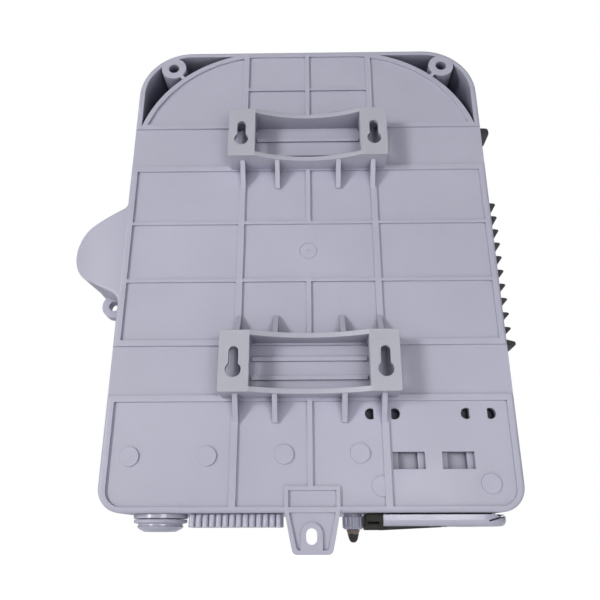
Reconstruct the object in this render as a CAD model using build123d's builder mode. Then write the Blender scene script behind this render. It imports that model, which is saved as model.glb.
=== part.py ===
from build123d import *
from math import acos, atan2, cos, hypot, sin
import os

# A wall- or pole-mounted fibre termination box for 16 subscribers.
# Frame: +X to the right seen from the front, +Y towards the wall, +Z up, millimetres.
# The origin lies on the wall, in the middle of the four keyholes.
# "Depth" is the distance in front of the wall (Y = -depth). "Height" is measured
# from the middle of the body, which stands BODY_RISE above the origin.

# ---------------------------------------------------------------- driving dimensions
BODY_WIDTH = 237.0
BODY_TOP = 158.5
BODY_BOTTOM = -158.0
TOP_RADIUS = 36.0
BOTTOM_RADIUS = 14.0
SMALLEST_CORNER = 4.0
BODY_RISE = 4.7

BACK_DEPTH = 17.0        # back face of the body, as deep as the brackets stand out
SEAM_DEPTH = 57.0        # where the shell ends and the cover starts
COVER_DEPTH = 57.2       # back edge of the cover
FRONT_DEPTH = 101.0      # front face of the cover
WALL = 4.0
FLOOR = 3.0
POCKET = 1.5             # recess between the back ribs
RIM_WIDTH = 4.0
BOTTOM_RIM_LESS = 1.4    # the rim is thinner along the bottom by this much
EDGE_RADIUS = 2.0

# round ribs that cut off the two top corners
ARC_X = 30.0
ARC_HEIGHT = 69.0
ARC_OUTER = 88.4
ARC_WALL = 3.3
CORNER_POCKET_DEPTH = 53.0
CORNER_BOSS_X = 95.5
CORNER_BOSS_HEIGHT = 144.5
CORNER_BOSS_RADIUS = 8.75
CORNER_HOLE_RADIUS = 3.75
CORNER_WEB = 2.5

# ribs on the back: (middle, width)
UPRIGHT_RIB_X = 43.3
UPRIGHT_RIB = 4.0
CENTRE_RIB = 3.0
STRAP_RIB = 3.8
STRAP_RIB_HEIGHTS = ((60.7, 94.7), (-94.7, -60.9))   # below and above each strap band
THIN_CROSS_RIBS = (19.85, -20.35)
THIN_RIB = 2.2
TOP_CROSS_RIB = 125.2
GATE_RING = 5.8          # round mark in the middle of the back
GATE_GROOVE = 0.7
GATE_DEPTH = 0.3

# pole and wall brackets moulded on the back
BRACKET_HEIGHTS = (77.7, -76.5)
BRACKET_WIDTH = 103.6
BRACKET_TALL = 36.2
BRACKET_WALL = 3.0
PAD_WIDTH = 17.4
SADDLE_DIP = 7.0
STRAP_WIDTH = 26.0
STRAP_SLOT = 9.0
FLOOR_RIB_OFFSETS = (5.2, -6.2)
FLOOR_RIB = 2.6
KEYHOLE_X = 43.3
KEYHOLE_DROP = 5.3
KEYHOLE_RADIUS = 4.5
KEYHOLE_SLOT = 5.6
KEYHOLE_RUN = 10.8
GUSSET_XS = (20.0, 42.6)
GUSSET_THICK = 3.0
GUSSET_TALL = 12.0
GUSSET_LONG = 15.5
TOP_GUSSET = 0.72        # those above the upper bracket are smaller by this factor

# bottom fixing tab
TAB_X = -1.0
TAB_HALF = 15.5
TAB_TIP_HALF = 10.8
TAB_TOP = -144.0
TAB_TIP = -179.5
TAB_THICK = 5.0
TAB_EDGE = 2.3
TAB_SLOT_WIDTH = 6.0
TAB_SLOT_LONG = 8.5
TAB_SLOT_HEIGHT = -170.2

# latch lobe on the right side and padlock ears below it
LOBE_X = 129.3
LOBE_HEIGHT = 1.2
LOBE_RADIUS = 22.7                   # at the back
LOBE_FEET = (-30.0, 32.8)            # heights where its flanks meet the body's side
LOBE_SEAM_RADIUS = 19.7              # the lobe narrows towards the seam
LOBE_SEAM_FEET = (-24.0, 29.5)
LOBE_FLARES = (8.0, 5.0)             # rounding at the lower and the upper foot
LOBE_SLOPE = 65.0                    # radius of its curved back
LOBE_SINK = 0.3                      # its back starts this much below the body's back
LOBE_BACK_EDGE = 1.5
LOBE_WALL = 3.0
LOBE_FRONT = 72.0
LOBE_EDGE = 3.0
EAR_X = 131.8
EAR_HEIGHT = -23.6
EAR_RADIUS = 8.2
EAR_HOLE = 3.4
EAR_THICK = 3.5

# lock in the lobe
LOCK_X = 131.2
LOCK_RADIUS = 8.0
BARREL_RADIUS = 5.0
CAM_DEPTH = 49.5
CAM_THICK = 2.0
CAM_LONG = 13.6
CAM_WIDE = 7.0
KEEPER_DEPTH = 52.5
KEEPER_THICK = 1.5
KEEPER_SPAN = (120.2, 139.0)         # left and right end
KEEPER_HEIGHTS = (-14.8, -8.0)       # lower and upper edge
KEEPER_POST = (123.2, -10.2)
KEEPER_POST_RADIUS = 4.0

# cover hinge on the left side
HINGE_X = -125.0
HINGE_RADIUS = 4.5
HINGE_PIN = 2.0
HINGE_HEIGHTS = (113.5, -113.5)
KNUCKLE = 5.0
KNUCKLE_GAP = 0.25
RUNNING = 0.05           # radial clearance of a pin in its bore
FIT_GAP = 0.1            # gap between pieces that push together

# rubber strip with 16 drop-cable ports in the left side
DROP_COUNT = 16
DROP_PITCH = 9.82
DROP_HEIGHT = 21.1
DROP_DEPTH = 41.0
DROP_HOLE = 2.3
SEAL_TALL = 163.0
SEAL_BACK = 32.0
SEAL_FRONT = 50.0
FIN_REACH = 127.3        # how far left the fins between the ports stand
BEAD_REACH = 129.2       # how far left the thick beads at both ends stand
FIN_COUNT = 10           # fins above the lowest port, the upper ports have none

# ports in the bottom
PORT_DEPTH = 37.0        # all bottom ports stand in one line, this far from the wall
GLAND_X = 86.0
GLAND_RADIUS = 15.3
GLAND_NECK = 10.4
GLAND_GROOVE = 12.5         # bottom of the groove round the nut
GLAND_BORE = 7.5
EARTH_GLAND_X = -24.2
EARTH_NUT_RADIUS = 6.0
STRIP_LEFT = 15.8
STRIP_RIGHT = 68.4
STRIP_PORTS = 7
EXPRESS_LEFT = -110.8
EXPRESS_RIGHT = -40.1
EXPRESS_RUBBER_RIGHT = -30.8
EXPRESS_BORE = 6.0
EXPRESS_SLOT_LONG = 46.0
EXPRESS_SLOT_WIDE = 18.0
EXPRESS_BORE_XS = (-88.0, -62.0)
EXPRESS_FLANGE_LEFT = -100.4
EXPRESS_FLANGE_TALL = 22.0
CLAMP_PLATE_TOP = BODY_BOTTOM - 0.9
CLAMP_PLATE_THICK = 6.1
CLAMP_PLATE_HALF = 15.5
SEAL_BLOCK_HALF = 13.0
SLIT_DEEP = 5.0
EXPRESS_RUBBER_DROP = 8.8            # how far the block hangs below the body
EXPRESS_TONGUE_LEFT = -76.0

# things fixed inside
BOSS_RADIUS = 4.5
SCREW_RADIUS = 1.5
SCREW_HEAD = 3.0
TALL_BOSS = 33.5         # depth of the front end of a clamp boss
LOW_BOSS = 29.5          # depth of the front end of a low boss
CLAMP_BOSSES = ((102.5, -127.7), (58.5, -127.5), (14.75, -126.7), (-28.25, -126.2))
RETAINER_BOSSES = ((-39.5, -144.2), (-100.25, -143.0))
DISC_RADIUS = 5.5
DISC_RAISE = 1.0
TIE_PAIR_XS = (-41.9, -97.1)         # middle of each pair of tie posts
TIE_POST_SPREAD = 6.9
TIE_POST_HEIGHT = -104.0
TIE_POST_RADIUS = 5.4
TIE_HOLE = 3.25
TIE_HOLE_DEEP = 10.0
TIE_FLAT_GAP = 10.2
BLOCK_XS = (-55.6, -83.5)
BLOCK_HEIGHT = -130.25
BLOCK_WIDE = 24.0
BLOCK_TALL = 14.0
BLOCK_HOLE_WIDE = 18.2
BLOCK_HOLE_TALL = 9.5
BLOCK_STEP_DEEP = 5.5
BLOCK_CORE_WIDE = 11.0
BLOCK_CORE_DEEP = 9.5
KEEPER_SCREW_LONG = 9.0
PANEL_BOSSES = ((-60.0, -42.5), (0.0, -42.5), (60.0, -42.5))
SPLITTER_WIDE = 100.0
SPLITTER_TALL = 80.0
SPLITTER_HEIGHT = 106.0
TRAY_AXIS_HEIGHT = -20.0
TRAY_AXIS_DEPTH = 30.0
TRAY_HALF = 75.5
TRAY_TOP = 42.0
TRAY_BOTTOM = -16.0
TRAY_BACK = 28.0
TRAY_FRONT = 40.0
TRAY_PIN = 1.5
ADAPTER_COLUMNS = 8
ADAPTER_PITCH = 17.5
ADAPTER_DEPTHS = (41.0, 63.0)
ADAPTER_HEIGHT = -50.0
ADAPTER_WIDE = 13.0
ADAPTER_THICK = 9.3
ADAPTER_LONG = 28.0

BODY_HALF = BODY_WIDTH / 2
INNER_FLOOR = BACK_DEPTH + POCKET + FLOOR
ARC_INNER = ARC_OUTER - ARC_WALL
SPLITTER_SCREWS = [
    (x, SPLITTER_HEIGHT + y) for x in (-46.0, 46.0) for y in (-36.0, 36.0)
]
TRAY_BOSSES = ((-89.0, TRAY_AXIS_HEIGHT), (89.0, TRAY_AXIS_HEIGHT))
TIE_POSTS = [
    (middle + side * TIE_POST_SPREAD, TIE_POST_HEIGHT) for middle in TIE_PAIR_XS for side in (-1, 1)
]
BLOCKS = [(x, BLOCK_HEIGHT) for x in BLOCK_XS]
COMB_X = -103.0
COMB_BOSSES = [(COMB_X, DROP_HEIGHT + step * DROP_PITCH) for step in (-6.5, 0.5, 6.5)]
EARTH_POST = (40.0, -100.0)
EXPRESS_SCREW_XS = (-104.2, -46.5)


# ---------------------------------------------------------------- planes and outlines
def layer(depth):
    """Plane parallel to the wall. Sketch x is X and sketch y is height."""
    return Plane(origin=(0, -depth, BODY_RISE), x_dir=(1, 0, 0), z_dir=(0, -1, 0))


def level(height):
    """Horizontal plane. Sketch x is X and sketch y is minus the depth."""
    return Plane(origin=(0, 0, height + BODY_RISE), x_dir=(1, 0, 0), z_dir=(0, 0, 1))


def upright(x):
    """Plane across the box. Sketch x is minus the depth and sketch y is height."""
    return Plane(origin=(x, 0, BODY_RISE), x_dir=(0, 1, 0), z_dir=(1, 0, 0))


def slab(x0, x1, depth0, depth1, height0, height1):
    """A plain block between two corners, used inside a larger part."""
    with BuildPart() as block:
        with BuildSketch(layer(depth0)):
            with Locations(((x0 + x1) / 2, (height0 + height1) / 2)):
                Rectangle(abs(x1 - x0), abs(height1 - height0))
        extrude(amount=depth1 - depth0)
    return block.part


def turned(profile, x, depth):
    """Turn (radius, height) points about the upright line at x and depth."""
    with BuildPart() as solid:
        with BuildSketch(layer(depth)):
            Polygon(*[(x + radius, height) for radius, height in profile], align=None)
        revolve(axis=Axis((x, -depth, 0), (0, 0, 1)))
    return solid.part


def turned_forward(profile, x, height):
    """Turn (radius, depth) points about the line through x, height along Y."""
    with BuildPart() as solid:
        with BuildSketch(upright(x)):
            Polygon(*[(-depth, height + radius) for radius, depth in profile], align=None)
        revolve(axis=Axis((x, 0, height + BODY_RISE), (0, 1, 0)))
    return solid.part


def screws(plane, points, length):
    """Pan-head cross-recess screws: heads stand on the plane, shanks go behind it."""
    with BuildPart() as group:
        with BuildSketch(plane):
            with Locations(*points):
                Circle(SCREW_RADIUS)
        extrude(amount=-length)
        with BuildSketch(plane):
            with Locations(*points):
                Circle(SCREW_HEAD)
        extrude(amount=1.8, taper=12)
        with BuildSketch(plane.offset(1.8)):
            with Locations(*points):
                Rectangle(3.2, 0.7)
                Rectangle(0.7, 3.2)
        extrude(amount=-1.0, mode=Mode.SUBTRACT)
    return group.part


def body_outline(inset, lowered=0.0):
    """Front view of the body, drawn in by inset, with its lower edge lowered."""
    top = BODY_TOP - inset
    bottom = BODY_BOTTOM + inset - lowered
    with BuildSketch() as outline:
        with Locations((0, (top + bottom) / 2)):
            Rectangle(BODY_WIDTH - 2 * inset, top - bottom)
        fillet(outline.vertices().group_by(Axis.Y)[-1], max(TOP_RADIUS - inset, SMALLEST_CORNER))
        fillet(outline.vertices().group_by(Axis.Y)[0], max(BOTTOM_RADIUS - inset, SMALLEST_CORNER))
    return outline.sketch


def beyond_arc(side, radius):
    """The corner region outside the round rib on one side."""
    reach = BODY_TOP
    with BuildSketch() as corner:
        with Locations((side * (ARC_X + reach / 2), ARC_HEIGHT + reach / 2)):
            Rectangle(reach, reach)
        with Locations((side * ARC_X, ARC_HEIGHT)):
            Circle(radius, mode=Mode.SUBTRACT)
    return corner.sketch


def arched_outline(inset):
    """Outline of the sealed space: the body drawn in, less the two top corners."""
    with BuildSketch() as outline:
        add(body_outline(inset))
        for side in (-1, 1):
            add(beyond_arc(side, ARC_INNER + WALL - inset), mode=Mode.SUBTRACT)
    return outline.sketch


def corner_pocket(side):
    """Hollow between the round rib and the rim in one top corner."""
    with BuildSketch() as pocket:
        add(body_outline(RIM_WIDTH))
        add(beyond_arc(side, ARC_OUTER), mode=Mode.INTERSECT)
    return pocket.sketch


def flank_end(foot, radius, side):
    """Where the straight flank from a foot on the body's side touches the lobe's disc."""
    across = BODY_HALF - LOBE_X
    up = foot - LOBE_HEIGHT
    turn = atan2(up, across) - side * acos(radius / hypot(across, up))
    return (LOBE_X + radius * cos(turn), LOBE_HEIGHT + radius * sin(turn))


def lobe_outline(radius, feet):
    """Latch lobe: a disc with straight flanks that flare into the right side of the body."""
    lower, upper = feet
    strip_tall = 130.0
    strip_wide = 12.0
    strip_x = BODY_HALF - strip_wide / 2
    with BuildSketch() as outline:
        with Locations((LOBE_X, LOBE_HEIGHT)):
            Circle(radius)
        with Locations((strip_x, LOBE_HEIGHT)):
            Rectangle(strip_wide, strip_tall)
        Polygon(
            (strip_x, lower), (BODY_HALF, lower), flank_end(lower, radius, -1),
            flank_end(upper, radius, 1), (BODY_HALF, upper), (strip_x, upper),
            align=None,
        )
        for place, flare in zip((1, -2), LOBE_FLARES):
            on_side = outline.vertices().filter_by_position(Axis.X, BODY_HALF - 0.1, BODY_HALF + 0.1)
            fillet(on_side.sort_by(Axis.Y)[place], flare)
    return outline.sketch


def shell_lobe():
    """The shell's half of the lobe: narrower at the seam, its rounded back curving off the wall."""
    reach = 80.0
    with BuildPart() as lobe:
        with BuildSketch(layer(BACK_DEPTH)):
            add(lobe_outline(LOBE_RADIUS, LOBE_FEET))
        with BuildSketch(layer(SEAM_DEPTH)):
            add(lobe_outline(LOBE_SEAM_RADIUS, LOBE_SEAM_FEET))
        loft(ruled=True)
        with BuildSketch(level(LOBE_HEIGHT)):
            with Locations((BODY_HALF, -SEAM_DEPTH / 2)):
                Rectangle(2 * reach, SEAM_DEPTH)
            with Locations((BODY_HALF, -BACK_DEPTH - LOBE_SINK - LOBE_SLOPE)):
                Circle(LOBE_SLOPE, mode=Mode.SUBTRACT)
        extrude(amount=reach, both=True, mode=Mode.SUBTRACT)
        back_edges = lobe.faces().filter_by(GeomType.CYLINDER).sort_by(SortBy.AREA)[-1].edges()
        fillet(back_edges.filter_by(lambda edge: edge.center().X > BODY_HALF - 0.1), LOBE_BACK_EDGE)
    return lobe.part


def cover_lobe():
    """The cover's half of the lobe, with a rounded front edge."""
    with BuildPart() as lobe:
        with BuildSketch(layer(COVER_DEPTH)):
            add(lobe_outline(LOBE_SEAM_RADIUS, LOBE_SEAM_FEET))
        extrude(amount=LOBE_FRONT - COVER_DEPTH)
        front_edges = lobe.faces().sort_by(Axis.Y)[0].edges()
        fillet(front_edges.filter_by(lambda edge: edge.center().X > BODY_HALF - 1), LOBE_EDGE)
    return lobe.part


def lobe_room(depth0, depth1):
    """Space inside the lobe between two depths."""
    wall_x = BODY_HALF + 1.5
    with BuildPart() as room:
        with BuildSketch(layer(depth0)):
            with Locations((LOBE_X, LOBE_HEIGHT)):
                Circle(LOBE_SEAM_RADIUS - LOBE_WALL)
            with Locations((wall_x - LOBE_RADIUS, LOBE_HEIGHT)):
                Rectangle(2 * LOBE_RADIUS, 3 * LOBE_RADIUS, mode=Mode.SUBTRACT)
        extrude(amount=depth1 - depth0)
    return room.part


def lobe_hollow():
    """Space inside the shell's half of the lobe, under its sloping back."""
    with BuildPart() as hollow:
        add(lobe_room(BACK_DEPTH, SEAM_DEPTH))
        with BuildSketch(level(LOBE_HEIGHT)):
            with Locations((BODY_HALF, -BACK_DEPTH - LOBE_SLOPE)):
                Circle(LOBE_SLOPE - LOBE_WALL)
        extrude(amount=2 * LOBE_RADIUS, both=True, mode=Mode.INTERSECT)
    return hollow.part


def padlock_ear(depth):
    """Ring for the padlock's shackle, on the cover or on the shell."""
    foot_x = BODY_HALF - WALL / 2
    with BuildPart() as ear:
        with BuildSketch(layer(depth)):
            with Locations((EAR_X, EAR_HEIGHT)):
                Circle(EAR_RADIUS)
            with Locations(((foot_x + EAR_X) / 2, EAR_HEIGHT)):
                Rectangle(EAR_X - foot_x, 2 * EAR_RADIUS)
            with Locations((EAR_X, EAR_HEIGHT)):
                Circle(EAR_HOLE, mode=Mode.SUBTRACT)
        extrude(amount=EAR_THICK)
    return ear.part


# ---------------------------------------------------------------- back shell
def back_pockets():
    """Everything on the back that lies below the ribs and the rim."""
    inner_half = BODY_HALF - RIM_WIDTH - 0.6
    with BuildSketch() as pockets:
        add(body_outline(RIM_WIDTH + 0.6, BOTTOM_RIM_LESS))
        for side in (-1, 1):
            add(beyond_arc(side, ARC_INNER), mode=Mode.SUBTRACT)
        for lower, upper in STRAP_RIB_HEIGHTS:
            with Locations((0, (lower + upper) / 2)):
                Rectangle(BODY_WIDTH + 2, upper - lower)
            with Locations((0, lower), (0, upper)):
                Rectangle(BODY_WIDTH + 2, STRAP_RIB, mode=Mode.SUBTRACT)
        for side in (-1, 1):
            with Locations((side * UPRIGHT_RIB_X, 0)):
                Rectangle(UPRIGHT_RIB, BODY_TOP - BODY_BOTTOM, mode=Mode.SUBTRACT)
        for height in THIN_CROSS_RIBS:
            with Locations((0, height)):
                Rectangle(2 * inner_half, THIN_RIB, mode=Mode.SUBTRACT)
        with Locations((0, TOP_CROSS_RIB)):
            Rectangle(2 * UPRIGHT_RIB_X, THIN_RIB, mode=Mode.SUBTRACT)
        for bottom, top in ((94.7, 156.0), (19.85, 60.65), (-60.95, -20.35), (-146.0, -94.7)):
            with Locations((0, (bottom + top) / 2)):
                Rectangle(CENTRE_RIB, top - bottom, mode=Mode.SUBTRACT)
        add(tab_outline(0), mode=Mode.SUBTRACT)
    return pockets.sketch


def tab_outline(inset):
    """Outline of the bottom tab with its frame on the back."""
    half = TAB_HALF - inset
    tip = TAB_TIP_HALF - inset
    with BuildSketch() as outline:
        Polygon(
            (TAB_X - half, TAB_TOP - inset), (TAB_X + half, TAB_TOP - inset),
            (TAB_X + half, BODY_BOTTOM + 2), (TAB_X + tip, TAB_TIP + inset),
            (TAB_X - tip, TAB_TIP + inset), (TAB_X - half, BODY_BOTTOM + 2),
            align=None,
        )
        fillet(outline.vertices().group_by(Axis.Y)[0], 3.0 - inset / 2)
    return outline.sketch


def tab_recess():
    """Shallow recesses in the tab, above and below the rim."""
    slot_top = TAB_SLOT_HEIGHT + TAB_SLOT_LONG / 2 - TAB_SLOT_WIDTH / 2
    collar = TAB_SLOT_WIDTH / 2 + 3.0
    with BuildSketch() as recess:
        add(tab_outline(TAB_EDGE))
        with Locations((TAB_X, BODY_BOTTOM + RIM_WIDTH / 2 - 0.5)):
            Rectangle(2 * TAB_HALF, RIM_WIDTH - 1.0, mode=Mode.SUBTRACT)
        with Locations((TAB_X + 0.5, slot_top)):
            Circle(collar, mode=Mode.SUBTRACT)
        with Locations((TAB_X + 0.5, (slot_top + TAB_TIP) / 2)):
            Rectangle(2 * collar, slot_top - TAB_TIP, mode=Mode.SUBTRACT)
    return recess.sketch


def bracket(middle):
    """One moulded bracket: two hollow pads joined by two saddle bars."""
    pad_x = BRACKET_WIDTH / 2 - PAD_WIDTH / 2
    inner_half = BRACKET_WIDTH / 2 - PAD_WIDTH
    saddle_radius = (inner_half ** 2 + SADDLE_DIP ** 2) / (2 * SADDLE_DIP)
    foot = BACK_DEPTH + POCKET
    with BuildPart() as frame:
        with BuildSketch(layer(foot)):
            with Locations((0, middle)):
                Rectangle(BRACKET_WIDTH, BRACKET_TALL)
                Rectangle(
                    BRACKET_WIDTH - 2 * BRACKET_WALL, BRACKET_TALL - 2 * BRACKET_WALL,
                    mode=Mode.SUBTRACT,
                )
            for side in (-1, 1):
                with Locations((side * (inner_half + BRACKET_WALL / 2), middle)):
                    Rectangle(BRACKET_WALL, BRACKET_TALL)
        extrude(amount=-foot)
        with BuildSketch(layer(0)):
            for side in (-1, 1):
                with Locations((side * pad_x, middle)):
                    Rectangle(PAD_WIDTH, BRACKET_TALL)
        extrude(amount=BRACKET_WALL)
        fillet(frame.edges().filter_by(Axis.Y).filter_by(
            lambda edge: abs(abs(edge.center().X) - BRACKET_WIDTH / 2) < 0.1), 1.2)
        # keyholes
        with BuildSketch(layer(0)):
            for side in (-1, 1):
                with Locations((side * KEYHOLE_X, middle - KEYHOLE_DROP)):
                    Circle(KEYHOLE_RADIUS)
                with Locations((side * KEYHOLE_X, middle - KEYHOLE_DROP + KEYHOLE_RUN)):
                    Circle(KEYHOLE_SLOT / 2)
                with Locations((side * KEYHOLE_X, middle - KEYHOLE_DROP + KEYHOLE_RUN / 2)):
                    Rectangle(KEYHOLE_SLOT, KEYHOLE_RUN)
        extrude(amount=BRACKET_WALL, mode=Mode.SUBTRACT)
        # saddle that seats on a pole
        with BuildSketch(level(middle)):
            with Locations((0, saddle_radius - SADDLE_DIP)):
                Circle(saddle_radius)
        extrude(amount=BRACKET_TALL, both=True, mode=Mode.SUBTRACT)
        # strap path through the pads' side walls
        with BuildSketch(layer(foot)):
            with Locations((0, middle)):
                Rectangle(BRACKET_WIDTH + 2, STRAP_WIDTH)
        extrude(amount=-(foot - BACK_DEPTH + STRAP_SLOT), mode=Mode.SUBTRACT)
        # low ribs on the floor between the pads
        with BuildSketch(layer(foot)):
            for offset_up in FLOOR_RIB_OFFSETS:
                with Locations((0, middle + offset_up)):
                    Rectangle(2 * inner_half, FLOOR_RIB)
        extrude(amount=-POCKET)
    return frame.part


def gussets(middle):
    """Triangular ribs that brace one bracket, above and below."""
    with BuildPart() as group:
        for x in GUSSET_XS:
            for side in (-1, 1):
                for way in (-1, 1):
                    edge = middle + way * (BRACKET_TALL / 2 - 1)
                    full = TOP_GUSSET if way > 0 and middle > 0 else 1.0
                    with BuildSketch(upright(side * x)):
                        Polygon(
                            (-BACK_DEPTH - POCKET, edge),
                            (-BACK_DEPTH + full * GUSSET_TALL, edge),
                            (-BACK_DEPTH, edge + way * full * GUSSET_LONG),
                            (-BACK_DEPTH - POCKET, edge + way * full * GUSSET_LONG),
                            align=None,
                        )
                    extrude(amount=GUSSET_THICK / 2, both=True)
    return group.part


def knuckles(depth, reach, starts, tall):
    """Hinge knuckles with the webs that carry them. Heights give each lower end."""
    side = -BODY_HALF + WALL / 2
    with BuildPart() as group:
        for start in starts:
            with BuildSketch(level(start)):
                with Locations((HINGE_X, -SEAM_DEPTH)):
                    Circle(HINGE_RADIUS)
                Polygon(
                    (HINGE_X - HINGE_RADIUS, -SEAM_DEPTH), (HINGE_X, -SEAM_DEPTH),
                    (side, -depth), (side, -depth - reach),
                    (HINGE_X, -depth - reach * 0.6),
                    align=None,
                )
                with Locations((HINGE_X, -SEAM_DEPTH)):
                    Circle(HINGE_PIN + RUNNING, mode=Mode.SUBTRACT)
            extrude(amount=tall)
    return group.part


SHELL_KNUCKLE_STARTS = [
    height + offset_up
    for height in HINGE_HEIGHTS
    for offset_up in (-1.5 * KNUCKLE - KNUCKLE_GAP, 0.5 * KNUCKLE + KNUCKLE_GAP)
]
COVER_KNUCKLE_STARTS = [height - KNUCKLE / 2 for height in HINGE_HEIGHTS]

with BuildPart() as back_shell:
    # outer block with the lobe
    with BuildSketch(layer(BACK_DEPTH)):
        add(body_outline(0))
    extrude(amount=SEAM_DEPTH - BACK_DEPTH)
    fillet(back_shell.faces().sort_by(Axis.Y)[-1].edges(), EDGE_RADIUS)
    add(shell_lobe())

    # sealed space, with a ledge for the gasket near the seam
    ledge_back = SEAM_DEPTH - 5.0
    ledge_front = SEAM_DEPTH - 2.0
    with BuildSketch(layer(INNER_FLOOR)):
        add(arched_outline(WALL))
    extrude(amount=ledge_back - INNER_FLOOR, mode=Mode.SUBTRACT)
    with BuildSketch(layer(ledge_back)):
        add(arched_outline(2 * WALL))
    extrude(amount=ledge_front - ledge_back, mode=Mode.SUBTRACT)
    with BuildSketch(layer(ledge_front)):
        add(arched_outline(WALL))
    extrude(amount=SEAM_DEPTH - ledge_front, mode=Mode.SUBTRACT)

    # ribbed back
    with BuildSketch(layer(BACK_DEPTH)):
        add(back_pockets())
    extrude(amount=POCKET, mode=Mode.SUBTRACT)
    with BuildSketch(layer(BACK_DEPTH)):
        Circle(GATE_RING)
        Circle(GATE_RING - GATE_GROOVE, mode=Mode.SUBTRACT)
        Circle(2 * GATE_GROOVE)
    extrude(amount=POCKET + GATE_DEPTH, mode=Mode.SUBTRACT)
    with BuildSketch(layer(BACK_DEPTH)):
        for side in (-1, 1):
            add(corner_pocket(side))
            web_turn = 49.0 if side > 0 else 131.0
            with Locations((side * CORNER_BOSS_X, CORNER_BOSS_HEIGHT)):
                Circle(CORNER_BOSS_RADIUS, mode=Mode.SUBTRACT)
            with Locations(Location((side * 88.0, 136.0), web_turn)):
                Rectangle(10.0, CORNER_WEB, mode=Mode.SUBTRACT)
    extrude(amount=CORNER_POCKET_DEPTH - BACK_DEPTH, mode=Mode.SUBTRACT)
    with BuildSketch(layer(BACK_DEPTH)):
        for side in (-1, 1):
            with Locations((side * CORNER_BOSS_X, CORNER_BOSS_HEIGHT)):
                Circle(CORNER_HOLE_RADIUS)
    extrude(amount=SEAM_DEPTH - BACK_DEPTH, mode=Mode.SUBTRACT)

    # bottom tab
    with BuildSketch(layer(BACK_DEPTH)):
        add(tab_outline(0))
    extrude(amount=TAB_THICK - 0.5)
    with BuildSketch(layer(BACK_DEPTH)):
        add(tab_recess())
    extrude(amount=POCKET, mode=Mode.SUBTRACT)
    with BuildSketch(layer(BACK_DEPTH)):
        with Locations(Location((TAB_X + 0.5, TAB_SLOT_HEIGHT), 90)):
            SlotOverall(TAB_SLOT_LONG, TAB_SLOT_WIDTH)
    extrude(amount=TAB_THICK, mode=Mode.SUBTRACT)

    # brackets, gussets and the round marks behind the screw bosses
    for middle in BRACKET_HEIGHTS:
        add(bracket(middle))
        add(gussets(middle))
    with BuildSketch(layer(BACK_DEPTH + POCKET)):
        with Locations(*CLAMP_BOSSES, *RETAINER_BOSSES):
            Circle(DISC_RADIUS)
    extrude(amount=-DISC_RAISE)

    # screw bosses, tie posts and blocks on the inner floor
    with BuildSketch(layer(INNER_FLOOR - 1)):
        with Locations(*CLAMP_BOSSES, *RETAINER_BOSSES):
            Circle(BOSS_RADIUS)
        with Locations(*TIE_POSTS):
            Circle(TIE_POST_RADIUS)
        with Locations(*BLOCKS):
            Rectangle(BLOCK_WIDE, BLOCK_TALL)
    extrude(amount=TALL_BOSS - INNER_FLOOR + 1)
    with BuildSketch(layer(INNER_FLOOR - 1)):
        with Locations(*PANEL_BOSSES, *TRAY_BOSSES, *COMB_BOSSES, EARTH_POST):
            Circle(BOSS_RADIUS)
    extrude(amount=LOW_BOSS - INNER_FLOOR + 1)
    with BuildSketch(layer(INNER_FLOOR - 1)):
        with Locations(*SPLITTER_SCREWS):
            Circle(BOSS_RADIUS)
    extrude(amount=4.5)
    with BuildSketch(layer(INNER_FLOOR)):
        with Locations(
            *CLAMP_BOSSES, *RETAINER_BOSSES, *PANEL_BOSSES, *TRAY_BOSSES, *COMB_BOSSES, EARTH_POST,
            *SPLITTER_SCREWS,
        ):
            Circle(SCREW_RADIUS + RUNNING)
    extrude(amount=TALL_BOSS - INNER_FLOOR, mode=Mode.SUBTRACT)
    # the tie posts and blocks are hollow from behind, the posts D-shaped, the blocks stepped
    with BuildSketch(layer(BACK_DEPTH)):
        with Locations(*TIE_POSTS):
            Circle(TIE_HOLE)
        for middle in TIE_PAIR_XS:
            with Locations((middle, TIE_POST_HEIGHT)):
                Rectangle(TIE_FLAT_GAP, 3 * TIE_HOLE, mode=Mode.SUBTRACT)
    extrude(amount=TIE_HOLE_DEEP, mode=Mode.SUBTRACT)
    for wide, deep in ((BLOCK_HOLE_WIDE, BLOCK_STEP_DEEP), (BLOCK_CORE_WIDE, BLOCK_CORE_DEEP)):
        with BuildSketch(layer(BACK_DEPTH)):
            with Locations(*BLOCKS):
                Rectangle(wide, BLOCK_HOLE_TALL)
        extrude(amount=deep, mode=Mode.SUBTRACT)

    # latch lobe: hollow under its slope, a post for the keeper, the padlock ear
    add(lobe_hollow(), mode=Mode.SUBTRACT)
    with BuildSketch(layer(KEEPER_DEPTH)):
        with Locations(KEEPER_POST):
            Circle(KEEPER_POST_RADIUS)
    extrude(amount=-(KEEPER_DEPTH - BACK_DEPTH - FLOOR + 0.5))
    with BuildSketch(layer(KEEPER_DEPTH)):
        with Locations(KEEPER_POST):
            Circle(SCREW_RADIUS + RUNNING)
    extrude(amount=-KEEPER_SCREW_LONG, mode=Mode.SUBTRACT)
    add(padlock_ear(SEAM_DEPTH - EAR_THICK))

    # hinge knuckles
    add(knuckles(SEAM_DEPTH - 8, 7.5, SHELL_KNUCKLE_STARTS, KNUCKLE))

    # window for the drop-cable strip
    add(
        slab(-BODY_HALF - 1, -BODY_HALF + WALL + 0.1, SEAL_BACK, SEAL_FRONT,
             DROP_HEIGHT - SEAL_TALL / 2, DROP_HEIGHT + SEAL_TALL / 2),
        mode=Mode.SUBTRACT,
    )
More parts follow.
